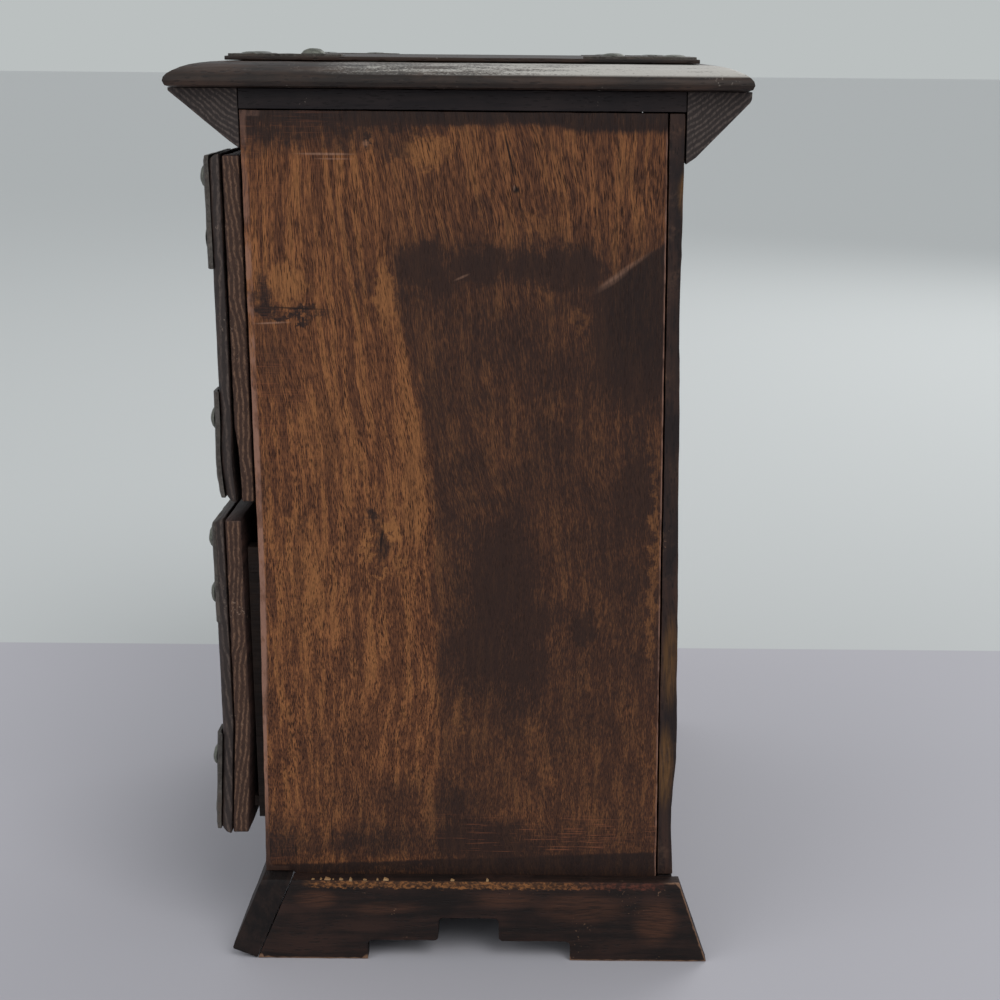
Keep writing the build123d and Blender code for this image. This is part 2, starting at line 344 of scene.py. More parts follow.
def plug(value, socket):
    if isinstance(value, Field):
        value.tree.links.new(value.socket, socket)
    else:
        socket.default_value = value


def put(tree, kind, sockets=None, output=0, **settings):
    # adds a node and gives back one of its outputs
    node = tree.nodes.new(kind)
    for key, value in settings.items():
        setattr(node, key, value)
    for key, value in (sockets or {}).items():
        plug(value, node.inputs[key])
    return Field(tree, node.outputs[output])


def mathOf(operation, a, b=0.0):
    tree = a.tree if isinstance(a, Field) else b.tree
    return put(tree, "ShaderNodeMath", {0: a, 1: b}, operation=operation)


def larger(a, b):
    return mathOf("MAXIMUM", a, b)


def absolute(a):
    return mathOf("ABSOLUTE", a)


def clamped(a):
    # keeps the last sum between 0 and 1
    a.socket.node.use_clamp = True
    return a


def vectorOf(operation, a, b=(0, 0, 0), output=0):
    return put(a.tree, "ShaderNodeVectorMath", {0: a, 1: b}, output, operation=operation)


def apart(place):
    # x, y and z of a place
    node = put(place.tree, "ShaderNodeSeparateXYZ", {0: place}).socket.node
    return [Field(place.tree, output) for output in node.outputs]


def together(x, y, z):
    return put(y.tree, "ShaderNodeCombineXYZ", {0: x, 1: y, 2: z})


def remap(value, low, high, toLow=0.0, toHigh=1.0):
    sockets = {"Value": value, "From Min": low, "From Max": high, "To Min": toLow, "To Max": toHigh}
    return put(value.tree, "ShaderNodeMapRange", sockets, interpolation_type="SMOOTHSTEP")


def mixed(factor, a, b):
    # sockets 0, 6 and 7 are the colour mix's factor and two colours, and output 2 its colour
    sockets = {0: factor, 6: a, 7: b}
    return put(factor.tree, "ShaderNodeMix", sockets, 2, data_type="RGBA", clamp_factor=True)


def stretched(place, scale, shift=(0, 0, 0), turn=(0, 0, 0)):
    sockets = {"Vector": place, "Location": shift, "Rotation": turn, "Scale": scale}
    return put(place.tree, "ShaderNodeMapping", sockets)


def noiseOf(place, detail=3.0, rough=0.55, scale=1.0, output="Fac"):
    sockets = {"Vector": place, "Scale": scale, "Detail": detail, "Roughness": rough}
    return put(place.tree, "ShaderNodeTexNoise", sockets, output)


def cellsOf(place):
    return put(place.tree, "ShaderNodeTexVoronoi", {"Vector": place, "Scale": 1.0}, "Distance")


def shaken(place, source, reach, scale, detail, rough):
    # the place, moved about by noise
    noise = noiseOf(source, detail, rough, scale, "Color")
    offset = vectorOf("MULTIPLY", vectorOf("SUBTRACT", noise, (0.5, 0.5, 0.5)), reach)
    return vectorOf("ADD", place, offset)


def startGroup(name, labels):
    # the inputs Place and Centre are vectors and the others are values
    tree = bpy.data.node_groups.new(name, "ShaderNodeTree")
    for label in labels:
        kind = "NodeSocketVector" if label in ("Place", "Centre") else "NodeSocketFloat"
        tree.interface.new_socket(label, in_out="INPUT", socket_type=kind)
    outputs = tree.nodes.new("NodeGroupInput").outputs
    return [Field(tree, outputs[label]) for label in labels]


def finishGroup(results):
    tree = next(iter(results.values())).tree
    for label in results:
        tree.interface.new_socket(label, in_out="OUTPUT", socket_type="NodeSocketFloat")
    sockets = tree.nodes.new("NodeGroupOutput").inputs
    for label, result in results.items():
        plug(result, sockets[label])
    return tree


def useGroup(group, place, **values):
    node = place.tree.nodes.new("ShaderNodeGroup")
    node.node_tree = group
    for label, value in dict(values, Place=place).items():
        plug(value, node.inputs[label])
    return {output.name: Field(place.tree, output) for output in node.outputs}


def woodFigureGroup():
    # the place is in millimetres, with the grain along z and the thickness along x
    place, slant, poreSize = startGroup("woodFigure", ["Place", "Slant", "PoreSize"])
    x, y, z = apart(shaken(place, place, (9.0, 9.0, 0.0), 0.016, 2.0, 0.5))
    place = together(x, y + z * slant, z)
    figure = noiseOf(stretched(place, (0.20, 0.26, 0.014)), 5.0, 0.62)
    fibre = noiseOf(stretched(place, (0.8, 1.5, 0.10)), 3.0, 0.6)
    # short dark pore strokes
    sized = put(place.tree, "ShaderNodeVectorMath", {0: place, "Scale": poreSize}, operation="SCALE")
    limit = remap(noiseOf(stretched(place, (0.2, 0.22, 0.06)), 2.0), 0.3, 0.7, 0.12, 0.42)
    pores = remap(cellsOf(stretched(sized, (0.4, 1.05, 0.27))) / limit, 0.55, 1.15, 1.0, 0.0)
    # a few long fine cracks
    crack = remap(cellsOf(stretched(place, (0.12, 0.30, 0.022))), 0.03, 0.09, 1.0, 0.0)
    pores = larger(pores, crack * 0.8)
    relief = pores * -0.55 + fibre * 0.6
    return finishGroup({"Figure": figure, "Fibre": fibre, "Pores": pores, "Relief": relief})


def panelFigureGroup():
    # the side panels' grain: close upright strokes that lean in the upper half, and short dark pores
    place, slant = startGroup("panelFigure", ["Place", "Lean"])
    x, y, z = apart(place)
    hump = remap(absolute(y + 8.0), 10.0, 75.0, 1.0, 0.1)
    lean = larger(z - 175.0, 0.0) * hump * slant
    wander = noiseOf(stretched(place, (0.02, 0.022, 0.012)), 2.0)
    # the strokes are long at the top and short lower down
    down = 300.0 - z
    grain = together(x, y + lean + wander * 12.0, z * 0.26 - down * down * 0.0007)
    bands = noiseOf(stretched(grain, (0.3, 0.42, 0.10)), 4.0, 0.66)
    strokes = noiseOf(stretched(grain, (0.9, 3.3, 0.85)), 5.0, 0.72)
    limit = remap(noiseOf(stretched(place, (0.1, 0.16, 0.05)), 2.0), 0.32, 0.68, 0.20, 0.40)
    pores = remap(cellsOf(stretched(grain, (0.9, 2.3, 0.72))) / limit, 0.6, 1.1, 1.0, 0.0)
    relief = pores * -0.5 + strokes * 0.6
    return finishGroup({"Bands": bands, "Strokes": strokes, "Pores": pores, "Relief": relief})


def rubbedGroup():
    # where finish has rubbed off: along arrises, broken up, and in scattered flecks
    place, arris, amount, flecks = startGroup("rubbed", ["Place", "Arris", "Amount", "Flecks"])
    broad = noiseOf(place, 3.0, 0.6, 0.06)
    broken = broad * 0.8 + noiseOf(place, 4.0, 0.7, 0.55) * 0.6
    patchy = noiseOf(place, 2.0, 0.6, 0.9) * remap(broad, 0.4, 0.65)
    return finishGroup({
        "Edge": remap(arris * (broken + amount), 0.55, 0.95),
        "Fleck": remap(patchy + flecks, 0.62, 0.70),
    })


def scratchGroup():
    # fine straight scratches that run along y of the place it is given
    place, amount = startGroup("scratches", ["Place", "Amount"])
    lines = noiseOf(stretched(place, (0.02, 0.05, 2.2)), 3.0, 0.7)
    level = noiseOf(place, 2.0, 0.5, 0.05) * 0.35 + amount
    return finishGroup({"Scratch": remap(lines + level, 0.86, 0.98)})


def ringsGroup():
    # growth rings on end grain, as arcs round a far centre
    place, centre, spacing = startGroup("endRings", ["Place", "Centre", "Spacing"])
    flat = vectorOf("MULTIPLY", vectorOf("SUBTRACT", place, centre), (0.03, 1, 1))
    wander = noiseOf(place, 5.0, 0.6, 0.07) * 5.0
    turns = (vectorOf("LENGTH", flat, output="Value") + wander) / spacing
    wave = mathOf("SINE", turns * (2 * math.pi))
    fine = noiseOf(stretched(place, (0.9, 1.3, 0.5)), 4.0, 0.75)
    return finishGroup({"Ring": remap(wave, -0.3, 1.0) * remap(fine, 0.32, 0.62, 0.15, 0.8), "Ray": fine})


def hammeredGroup():
    # hammer marks, tone and rust for sheet iron and nails
    place, = startGroup("hammeredIron", ["Place"])
    sockets = {"Vector": place, "Scale": 0.38, "Smoothness": 0.6}
    marks = put(place.tree, "ShaderNodeTexVoronoi", sockets, "Distance", feature="SMOOTH_F1")
    grit = noiseOf(place, 5.0, 0.7, 1.1)
    broad = noiseOf(place, 3.0, 0.6, 0.09)
    return finishGroup({
        "Tone": broad * 0.5 + grit * 0.5,
        "Rust": remap(broad * 0.6 + grit * 0.4, 0.52, 0.68),
        "Relief": marks * 0.7 + grit * 0.35,
    })


woodFigure = woodFigureGroup()
panelFigure = panelFigureGroup()
rubbed = rubbedGroup()
scratches = scratchGroup()
endRings = ringsGroup()
hammeredIron = hammeredGroup()
print("shader groups built")


def startMaterial(name):
    # gives back the new material's shader and the place in millimetres
    material = bpy.data.materials.new(name)
    material.use_nodes = True
    tree = material.node_tree
    place = stretched(put(tree, "ShaderNodeTexCoord", output="Object"), (1000, 1000, 1000))
    return tree.nodes["Principled BSDF"], place


def finishSurface(shader, colour, rough, relief, depth, strength):
    # depth is in millimetres
    bump = {"Height": relief, "Distance": depth * mm, "Strength": strength}
    plug(colour, shader.inputs["Base Color"])
    plug(rough, shader.inputs["Roughness"])
    plug(put(colour.tree, "ShaderNodeBump", bump), shader.inputs["Normal"])


def turnedGrain(place, grain, shift=(0, 0, 0)):
    # turns the place so that the grain runs along its z
    turns = {"z": (0, 0, 0), "x": (0, -math.pi / 2, 0), "y": (math.pi / 2, 0, 0)}
    return stretched(place, (1, 1, 1), shift, turns[grain])


def arrisOf(tree):
    return put(tree, "ShaderNodeAttribute", output="Fac", attribute_name="arris")


def patchMask(place, patch, soft):
    # one soft spot on a side face: y, z, half width, half height, lean in degrees and weight
    y, z, wide, high, turn, weight = patch
    sockets = {
        "Vector": place, "Location": (0, y, z), "Rotation": (math.radians(turn), 0, 0), "Scale": (400, wide, high),
    }
    centred = put(place.tree, "ShaderNodeMapping", sockets, vector_type="TEXTURE")
    return remap(vectorOf("LENGTH", centred, output="Value"), soft, 1.0, weight, 0.0)


def patchSum(place, patches, soft=0.45):
    total = patchMask(place, patches[0], soft)
    for patch in patches[1:]:
        total = total + patchMask(place, patch, soft)
    return total


# Right side panel, as on the photographed side; patches give y, z, half width, half height, lean, weight
rightPanelLook = {
    "light": paint(152, 97, 59),
    "deep": paint(60, 35, 23),
    "band": paint(64, 37, 27),
    "pore": paint(36, 21, 15),
    "gold": paint(158, 106, 62),
    "stainAndShade": paint(50, 33, 27),
    "deepStainAndShade": paint(31, 23, 22),
    # worn edges; on the front arris also a painted highlight
    "bareAndHighlight": paint(152, 114, 97),
    "glint": paint(176, 124, 84),
    "crack": paint(24, 16, 13),
    "scratch": paint(138, 84, 58),
    "rub": paint(160, 122, 100),
    "lean": 0.13,
    # the worn front part ends along this line
    "edgeTop": -27.0,
    "edgeLow": -11.5,
    "dark": [
        (-14, 263, 17, 14, 0, 0.6), (-11, 272, 7, 5, 0, 0.4), (5.7, 266, 13, 12, 0, 0.8),
        (28, 266, 26, 11, 0, 0.7), (45, 267.5, 7, 12, 0, 0.5), (9, 284, 5, 8, 10, 0.5),
        (-69.7, 253, 6, 13, 0, 1.3), (-60, 248.2, 19, 3.2, -2, 1.5), (-67, 232, 9, 17, 0, 0.55),
        (-38, 268, 2.6, 25, 12, 0.4), (-33, 258, 5, 12, 8, 0.45),
        (-68, 311, 24, 16, 0, 1.15), (-38, 311, 36, 12, 0, 1.05), (-20, 304, 12, 5, 0, 0.5),
        (0, 313, 60, 5, 0, 0.45), (13, 130, 23, 68, 0, 0.55), (43, 132, 6, 14, 0, 0.45), (-71.5, 186, 3.5, 20, 0, 0.5),
        (-41, 124, 5, 17, 4, 0.35), (-18, 66, 34, 14, 3, 0.35), (-77, 42, 22, 30, 0, 1.0),
        (-31.4, 175.8, 4.6, 6.8, 0, 1.2), (-29.4, 163.5, 5.5, 12, -6, 1.0), (-58.6, 172.2, 3.4, 3.2, 0, 0.8),
        (-32, 306, 3.0, 2.8, 0, 0.8), (62, 190, 10, 60, 0, 0.25), (-30, 60, 54, 20, 0, 0.5),
        (-52, 84, 22, 24, 0, 0.25), (-6, 46, 80, 15, 0, 0.8), (-50, 44, 40, 14, 0, 0.6),
        (-74, 120, 4, 50, 0, 0.3), (40, 90, 26, 16, 0, 0.2),
    ],
    "gilt": [
        (-60.5, 258.5, 9, 9, 0, 0.75), (-12, 303.5, 11, 8, 0, 0.8), (-26.5, 255, 4, 19, 3, 0.7),
        (-18, 186, 6.5, 30, 0, 0.5), (68.5, 158, 2.4, 62, 0, 0.8), (-25.6, 170.5, 3.2, 8, 0, 1.0),
        (-35.4, 163.5, 1.6, 9, 0, 0.9), (-30, 153.4, 5.5, 1.8, 0, 0.8), (-23, 157, 1.4, 7, -14, 0.6),
        (28, 279, 8, 5, 0, 0.35), (41, 246.5, 5, 4, -20, 0.5), (22, 94, 5, 6, 0, 0.45), (-2, 100, 2.6, 13, 0, 0.5),
        (-62, 172, 1.4, 4.5, 0, 0.4), (-58, 150, 12, 34, 0, 0.25), (-50, 205, 12, 22, 0, 0.2),
    ],
    "cracks": [
        (16.7, 302, 0.5, 12.5, 13, 1.0), (20.5, 284, 0.45, 9, 8, 0.7), (18.9, 291, 1.7, 1.9, 0, 1.0),
        (-74.6, 43, 0.4, 5, 0, 0.9), (-70.2, 41.5, 0.35, 3.6, 0, 0.9), (-64.9, 42.5, 0.45, 5, 0, 1.0),
        (-51, 50, 0.45, 11, 0, 0.9), (-58, 249.8, 16, 0.5, -2, 0.8), (-37, 252, 0.8, 13, 13, 0.6),
        (-29.6, 167, 0.6, 7.5, -9, 0.9),
    ],
    "pale": [
        (56, 263.8, 14, 1.3, 34.6, 0.3), (52, 260, 9, 1.6, 34.6, 0.25), (-66, 244.6, 8.5, 0.5, 3, 0.7),
        (-46, 302.4, 13, 0.6, 0, 0.75), (-43, 300.8, 9, 0.4, 0, 0.5), (-32, 306, 1.7, 1.6, 0, 0.4),
        (18.2, 291.6, 0.5, 1.4, 0, 0.8), (0, 261, 4, 0.6, 24, 0.4),
    ],
    "slope": (0.69, 224.4),     # the dark corner below a straight diagonal at the rear
    # the top border is dark finish and painted shade under the overhang
    "borderTop": 313.6,
    "borderTopRear": 311.3,
    "borderLow": 39.4,
}

leftPanelLook = dict(
    rightPanelLook,
    lean=-0.08,
    edgeTop=16.0,
    edgeLow=22.0,
    dark=[
        (45, 280, 30, 12, 0, 0.8), (-50, 226, 12, 20, 12, 0.6), (30, 120, 16, 34, -6, 0.6),
        (-20, 70, 44, 13, 0, 0.4), (-66, 306, 18, 9, 0, 0.8), (-72, 120, 5, 36, 0, 0.5),
    ],
    gilt=[(-40, 270, 24, 14, 0, 0.6), (-28, 150, 12, 40, 0, 0.4), (60, 200, 5, 40, 0, 0.6), (0, 232, 9, 18, 0, 0.4)],
    cracks=[(-10, 296, 0.5, 16, -6, 0.9), (22, 58, 0.5, 9, 0, 0.9), (-60, 46, 0.4, 6, 0, 0.8)],
    pale=[(-30, 302, 16, 0.6, 0, 0.6), (40, 240, 10, 0.6, -12, 0.5)],
    slope=(0.2, 200.0),
)


def sidePanelMaterial(name, look, seed):
    shader, place = startMaterial(name)
    shifted = stretched(place, (1, 1, 1), (seed, 0, 0))
    figured = useGroup(panelFigure, shifted, Lean=look["lean"])
    bands, strokes, pores = figured["Bands"], figured["Strokes"], figured["Pores"]
    x, across, height = apart(place)
    wood = mixed(remap(strokes, 0.39, 0.61), look["deep"], look["light"])
    wood = mixed(remap(bands, 0.38, 0.60, 0.62, 0.0), wood, look["band"])
    wood = mixed(remap(bands, 0.5, 0.66, 0.0, 0.45), wood, look["gold"])
    # the patches get ragged outlines
    moved = shaken(place, shifted, (0, 16, 26), 0.16, 4.0, 0.7)
    gilt = patchSum(moved, look["gilt"])
    wood = mixed(clamped(gilt * remap(strokes, 0.3, 0.6, 0.25, 0.8)), wood, look["gold"])

    # the old dark finish: rear part, spots and borders, all with rubbed edges; the top border under the top board's
    # overhang is dark finish and painted shade together
    ragged = (noiseOf(stretched(place, (1, 0.22, 0.05)), 4.0, 0.65) - 0.5) * 12.0
    cloudy = noiseOf(shifted, 4.0, 0.6, 0.045)
    line = remap(height, 180.0, 290.0, look["edgeLow"], look["edgeTop"])
    rear = remap(across - line + ragged, -2.5, 3.0) * remap(height + ragged, 262.0, 284.0, 0.95, 0.28)
    rear = rear * remap(height, 84.0, 128.0, 0.72, 1.0) * remap(cloudy, 0.34, 0.6, 0.8, 1.1)
    spots = patchSum(moved, look["dark"], 0.1) * remap(cloudy, 0.3, 0.55, 0.85, 1.15)
    steep, level = look["slope"]
    under = remap(height - across * steep + ragged * 0.3, level - 1.5, level + 1.5, 1.0, 0.0)
    under = under * remap(across, 42, 56) * remap(height, 205, 246)
    # top border: dark finish with painted shade from the overhang above
    edge = remap(across, 30.0, 40.0, look["borderTop"], look["borderTopRear"])
    top = remap(height + ragged * 0.3 - edge, -2.4, 0.8)
    foot = height - across * 0.045
    footLine = look["borderLow"]
    low = remap(foot + ragged * 0.1, footLine - 0.4, footLine + 1.0, 1.0, 0.0)
    borders = larger(larger(top, low), under)
    stainAndShade = rear + spots + borders - gilt * 0.45
    stainAndShade = clamped(stainAndShade * remap(strokes, 0.38, 0.64, 1.06, 0.76))
    deeper = clamped(larger(borders, spots * 0.6))
    finished = mixed(stainAndShade * 0.93, wood, mixed(deeper * 0.85, look["stainAndShade"], look["deepStainAndShade"]))

    glints = remap(strokes, 0.62, 0.74, 0.0, 0.5) * remap(stainAndShade, 0.0, 1.0, 1.0, 0.3)
    finished = mixed(glints, finished, look["glint"])
    finished = mixed(pores * remap(stainAndShade, 0.0, 1.0, 0.9, 0.5), finished, look["pore"])
    finished = mixed(patchSum(place, look["cracks"], 0.3), finished, look["crack"])
    # light scratches: level ones near the foot and at the front, and rubbed lines
    cross = useGroup(scratches, place, Amount=0.11)["Scratch"]
    nearFoot = remap(height, 62.0, 50.0) * remap(across, -40.0, 20.0, 0.25, 1.0)
    where = larger(remap(across, -34.0, -62.0, 0.0, 0.3), nearFoot) * remap(foot, footLine + 1, footLine + 3)
    finished = mixed(cross * where * 0.85, finished, look["scratch"])
    lines = patchSum(place, look["pale"], 0.35) * remap(strokes, 0.35, 0.6, 0.35, 1.0)
    finished = mixed(lines, finished, look["rub"])
    # the front arris is painted pale from end to end, as wear and as a painted highlight; the rear one is worn to the
    # wood along a thin line
    arris = arrisOf(place.tree)
    broken = noiseOf(stretched(place, (0.3, 0.3, 0.12)), 4.0, 0.6)
    share = remap(height, 190.0, 250.0, 0.3, -0.1) + remap(broken, 0.38, 0.56, 0.2, 0.8)
    frontEdge = clamped(remap(arris, 0.22, 0.42) * remap(across, -66.0, -70.0) * share)
    frontEdge = frontEdge * remap(height, 40.0, 80.0, 0.1, 0.85) * remap(height, 300.0, 270.0, 0.5, 1.0)
    rearEdge = remap(arris, 0.6, 0.8) * remap(across, 60.0, 66.0) * remap(height, 313.0, 306.0)
    rearEdge = rearEdge * remap(broken, 0.38, 0.56, 0.25, 0.8)
    finished = mixed(larger(frontEdge, rearEdge), finished, look["bareAndHighlight"])
    # behind the drawer fronts the narrow edge is made darker
    narrow = remap(across, -73.9, -74.4) * remap(absolute(x), 111.4, 110.8)
    finished = mixed(narrow * 0.9, finished, look["deepStainAndShade"])
    shader.inputs["Specular IOR Level"].default_value = 0.22
    rough = remap(stainAndShade, 0.0, 1.0, 0.66, 0.54) + pores * 0.2
    finishSurface(shader, finished, rough, figured["Relief"], 0.14, 0.7)


# One dark wood, with its own values for each place that it is used
darkWoods = {
    "topWood": {
        "grain": "y", "shift": (3, 11, 0), "dark": paint(33, 27, 24), "brown": paint(58, 43, 35),
        "worn": paint(138, 128, 118), "edge": -0.05, "flecks": 0.0, "rough": 0.46, "specular": 0.3,
    },
    "topBoardWood": {
        "grain": "y", "shift": (9, 4, 0), "dark": paint(34, 27, 23), "brown": paint(62, 46, 37),
        "worn": paint(138, 128, 118), "edge": 0.12, "flecks": 0.03, "rough": 0.46, "specular": 0.3,
        # band: a pale speckled strip on the right rounding, wear together with a painted reflection
        "band": {"low": 328.9, "front": -44.0, "rear": 70.0, "pale": paint(190, 186, 178)},
    },
    "stripWood": {
        "grain": "y", "shift": (21, 4, 0), "dark": paint(30, 25, 26), "brown": paint(44, 36, 35),
        "worn": paint(120, 108, 100), "edge": -0.25, "flecks": -0.05, "rough": 0.55, "specular": 0.25,
    },
    "backWood": {
        "grain": "z", "shift": (5, 60, 0), "dark": paint(34, 26, 25), "brown": paint(62, 43, 35),
        "worn": paint(142, 108, 84), "edge": 0.05, "flecks": -0.02, "rough": 0.6, "specular": 0.25,
        "patches": [(76, 290, 3, 9, 0, 0.6), (75.5, 120, 4, 24, 0, 0.5), (74.5, 78, 4, 22, 0, 0.6)],
        "patchColour": paint(120, 84, 44),
    },
    "corniceWood": {
        "grain": "x", "shift": (8, 0, 31), "dark": paint(36, 31, 31), "brown": paint(58, 49, 46),
        "worn": paint(140, 130, 122), "edge": -0.1, "flecks": 0.0, "rough": 0.6, "specular": 0.3,
        "ends": {"centre": (0, 0, 422), "spacing": 1.7, "pale": paint(98, 86, 79), "dull": paint(52, 44, 41)},
    },
    "sideBaseWood": {
        "grain": "y", "shift": (0, 8, 17), "dark": paint(24, 17, 15), "brown": paint(50, 33, 27),
        "worn": paint(142, 108, 84), "edge": -0.3, "flecks": 0.0, "rough": 0.62, "specular": 0.25,
        "patches": [
            (-57, 25.6, 11, 5, 0, 0.42), (14.8, 25.6, 16, 4.5, 0, 0.3), (44, 22.7, 22, 9, 0, 0.3),
            (72, 17, 11, 13, 0, 0.4), (-30, 22, 18, 4, 3, 0.25),
        ],
        "patchColour": paint(104, 66, 46),
        "gouged": {"low": 30.4, "front": -60.0, "rear": 76.0, "brown": paint(146, 96, 54), "red": paint(92, 50, 38)},
    },
    "frontBaseWood": {
        "grain": "x", "shift": (40, 8, 3), "dark": paint(20, 15, 14), "brown": paint(40, 29, 25),
        "worn": paint(110, 92, 78), "edge": -0.3, "flecks": 0.02, "rough": 0.62, "specular": 0.25,
    },
    "faceWood": {
        "grain": "x", "shift": (0, 12, 9), "dark": paint(36, 30, 29), "brown": paint(66, 52, 46),
        "worn": paint(138, 120, 106), "edge": -0.05, "flecks": 0.0, "rough": 0.58, "specular": 0.3,
        "ends": {"centre": (0, 900, 230), "spacing": 2.4, "pale": paint(96, 82, 74), "dull": paint(50, 41, 37)},
    },
    "backingWood": {
        "grain": "x", "shift": (0, 2, 29), "dark": paint(38, 28, 26), "brown": paint(66, 47, 41),
        "worn": paint(150, 126, 108), "edge": -0.02, "flecks": 0.0, "rough": 0.6, "specular": 0.25,
        "ends": {"centre": (0, -900, 190), "spacing": 1.8, "pale": paint(124, 94, 74), "dull": paint(66, 46, 36)},
    },
}


def darkWoodMaterial(name, look):
    shader, place = startMaterial(name)
    x, y, z = apart(place)
    side = absolute(x)
    arris = arrisOf(place.tree)
    figured = useGroup(woodFigure, turnedGrain(place, look["grain"], look["shift"]), Slant=0.03, PoreSize=0.9)
    fibre, relief = figured["Fibre"], figured["Relief"]
    tone = figured["Figure"] * 0.6 + noiseOf(place, 4.0, 0.6, 0.045) * 0.4
    wood = mixed(remap(tone, 0.40, 0.62), look["dark"], look["brown"])
    wood = mixed(remap(fibre, 0.5, 0.75, 0.0, 0.35), wood, look["brown"])
    wood = mixed(figured["Pores"] * 0.55, wood, paint(22, 17, 16))
    if "ends" in look:
        # growth rings where the board's ends face out
        ends = look["ends"]
        rings = useGroup(endRings, place, Centre=ends["centre"], Spacing=ends["spacing"])
        endWood = mixed(rings["Ring"], ends["dull"], ends["pale"])
        endWood = mixed(remap(rings["Ray"], 0.36, 0.6, 0.4, 0.0), endWood, look["dark"])
        facing = remap(absolute(apart(put(place.tree, "ShaderNodeTexCoord", output="Normal"))[0]), 0.6, 0.85)
        wood = mixed(facing, wood, endWood)
        relief = relief + rings["Ring"] * facing * 0.3
    if "patches" in look:
        # only on the outer sides
        spots = clamped(patchSum(place, look["patches"]) * remap(fibre, 0.35, 0.6, 0.3, 1.0))
        wood = mixed(spots * remap(side, 109.0, 112.0), wood, look["patchColour"])
    worn = useGroup(rubbed, place, Arris=arris, Amount=look["edge"], Flecks=look["flecks"])
    wood = mixed(worn["Edge"] * 0.6, wood, look["worn"])
    wood = mixed(worn["Fleck"] * 0.55, wood, look["worn"])
    if "band" in look:
        # the rounding on the right is painted pale and speckled, most towards the back: wear together with a painted
        # reflection of the light behind
        band = look["band"]
        speckle = noiseOf(stretched(place, (1.1, 0.9, 1.8)), 5.0, 0.8)
        streak = noiseOf(stretched(place, (0.5, 0.04, 0.9)), 3.0, 0.6)
        paler = remap(y, band["front"], band["rear"], 0.06, 0.25)
        wearAndSheen = remap(speckle * 0.6 + streak * 0.5 + paler, 0.58, 0.78, 0.1, 0.95)
        wearAndSheen = wearAndSheen * remap(y, band["front"] - 8, band["front"] + 14)
        wearAndSheen = wearAndSheen * remap(z, band["low"] - 0.5, band["low"] + 0.4) * remap(x, 96.0, 106.0)
        wood = mixed(wearAndSheen, wood, band["pale"])
    if "gouged" in look:
        # a rough strip along the upper edge, and thin pale lines at the feet and the back edge; the back-edge line is
        # wear together with a painted highlight
        gouged = look["gouged"]
        outer = remap(side, 117.0, 117.6)
        rough = noiseOf(stretched(place, (0.6, 0.55, 0.9)), 4.0, 0.7)
        strip = remap(z + (rough - 0.5) * 5.0, gouged["low"] - 0.3, gouged["low"] + 0.5) * remap(z, 33.4, 32.8)
        strip = strip * remap(y, gouged["front"] - 3, gouged["front"] + 4)
        strip = strip * remap(y, gouged["rear"], gouged["rear"] - 3) * remap(rough, 0.42, 0.64, 0.12, 0.9)
        wood = mixed(strip * outer, wood, mixed(remap(y, 25.0, 60.0), gouged["brown"], gouged["red"]))
        thin = remap(arris, 0.62, 0.8) * remap(rough, 0.3, 0.5, 0.3, 0.8) * outer
        wood = mixed(thin * larger(remap(z, 2.5, 1.2), remap(y, 74.0, 78.0)), wood, look["worn"])
    shader.inputs["Specular IOR Level"].default_value = look["specular"]
    finishSurface(shader, wood, (fibre - 0.5) * 0.35 + look["rough"], relief, 0.18, 0.8)


def innerWoodMaterial(name, grain, pale, deep):
    # plain unfinished boards inside
    shader, place = startMaterial(name)
    figured = useGroup(woodFigure, turnedGrain(place, grain), Slant=0.02, PoreSize=0.8)
    wood = mixed(remap(figured["Figure"], 0.3, 0.7), deep, pale)
    wood = mixed(figured["Pores"] * 0.4, wood, paint(26, 19, 16))
    wood = mixed(remap(noiseOf(place, 3.0, 0.6, 0.03), 0.5, 0.75, 0.0, 0.35), wood, paint(30, 23, 20))
    finishSurface(shader, wood, remap(figured["Fibre"], 0.3, 0.7, 0.6, 0.8), figured["Relief"], 0.14, 0.6)


def ironMaterial(name, dark, pale, metallic, roughLow, roughHigh):
    shader, place = startMaterial(name)
    marks = useGroup(hammeredIron, place)
    iron = mixed(remap(marks["Tone"], 0.35, 0.65), dark, pale)
    iron = mixed(marks["Rust"] * 0.45, iron, paint(84, 56, 40))
    worn = useGroup(rubbed, place, Arris=arrisOf(place.tree), Amount=0.1, Flecks=0.0)
    iron = mixed(worn["Edge"] * 0.5, iron, paint(128, 124, 118))
    shader.inputs["Metallic"].default_value = metallic
    finishSurface(shader, iron, remap(marks["Tone"], 0.3, 0.7, roughLow, roughHigh), marks["Relief"], 0.35, 0.8)


for name, look in darkWoods.items():
    darkWoodMaterial(name, look)
sidePanelMaterial("rightPanelWood", rightPanelLook, 0)
sidePanelMaterial("leftPanelWood", leftPanelLook, 170)
ironMaterial("plateIron", paint(52, 47, 43), paint(92, 86, 79), 0.5, 0.42, 0.7)
# the nail heads' pale greenish grey is partly a painted reflection of the lit wall
ironMaterial("nailIron", paint(78, 79, 72), paint(128, 130, 120), 0.6, 0.38, 0.6)
innerWoodMaterial("boxWood", "y", paint(58, 42, 33), paint(38, 28, 22))
innerWoodMaterial("boxCrossWood", "x", paint(58, 42, 33), paint(38, 28, 22))
innerWoodMaterial("shelfWood", "x", paint(46, 33, 27), paint(32, 23, 19))
innerWoodMaterial("splinterWood", "y", paint(176, 140, 96), paint(132, 96, 62))
print("materials built")


# Side panels

sidePanel = {
    "front": -74.7,
    "flareTop": 150.0,      # below this the front edge runs out to the seat
    "flare": 2.2,
    "rear": 70.3,           # at its upper end, from where it runs out to the foot
    "rearFlare": 2.2,
    "seatBack": -65.98,     # where the panel's foot steps up behind the front base board
    "seat": 33.5,
    "foot": 20.0,
    "top": 317.0,
    "grooves": [(44, 52), (173, 180)],
    "grooveDepth": 3,
    "look": {"round": 0.5, "cells": (0, 3, 3.5), "reach": 2.6, "dents": (45, 0.25), "chips": (6, 0.5)},
}


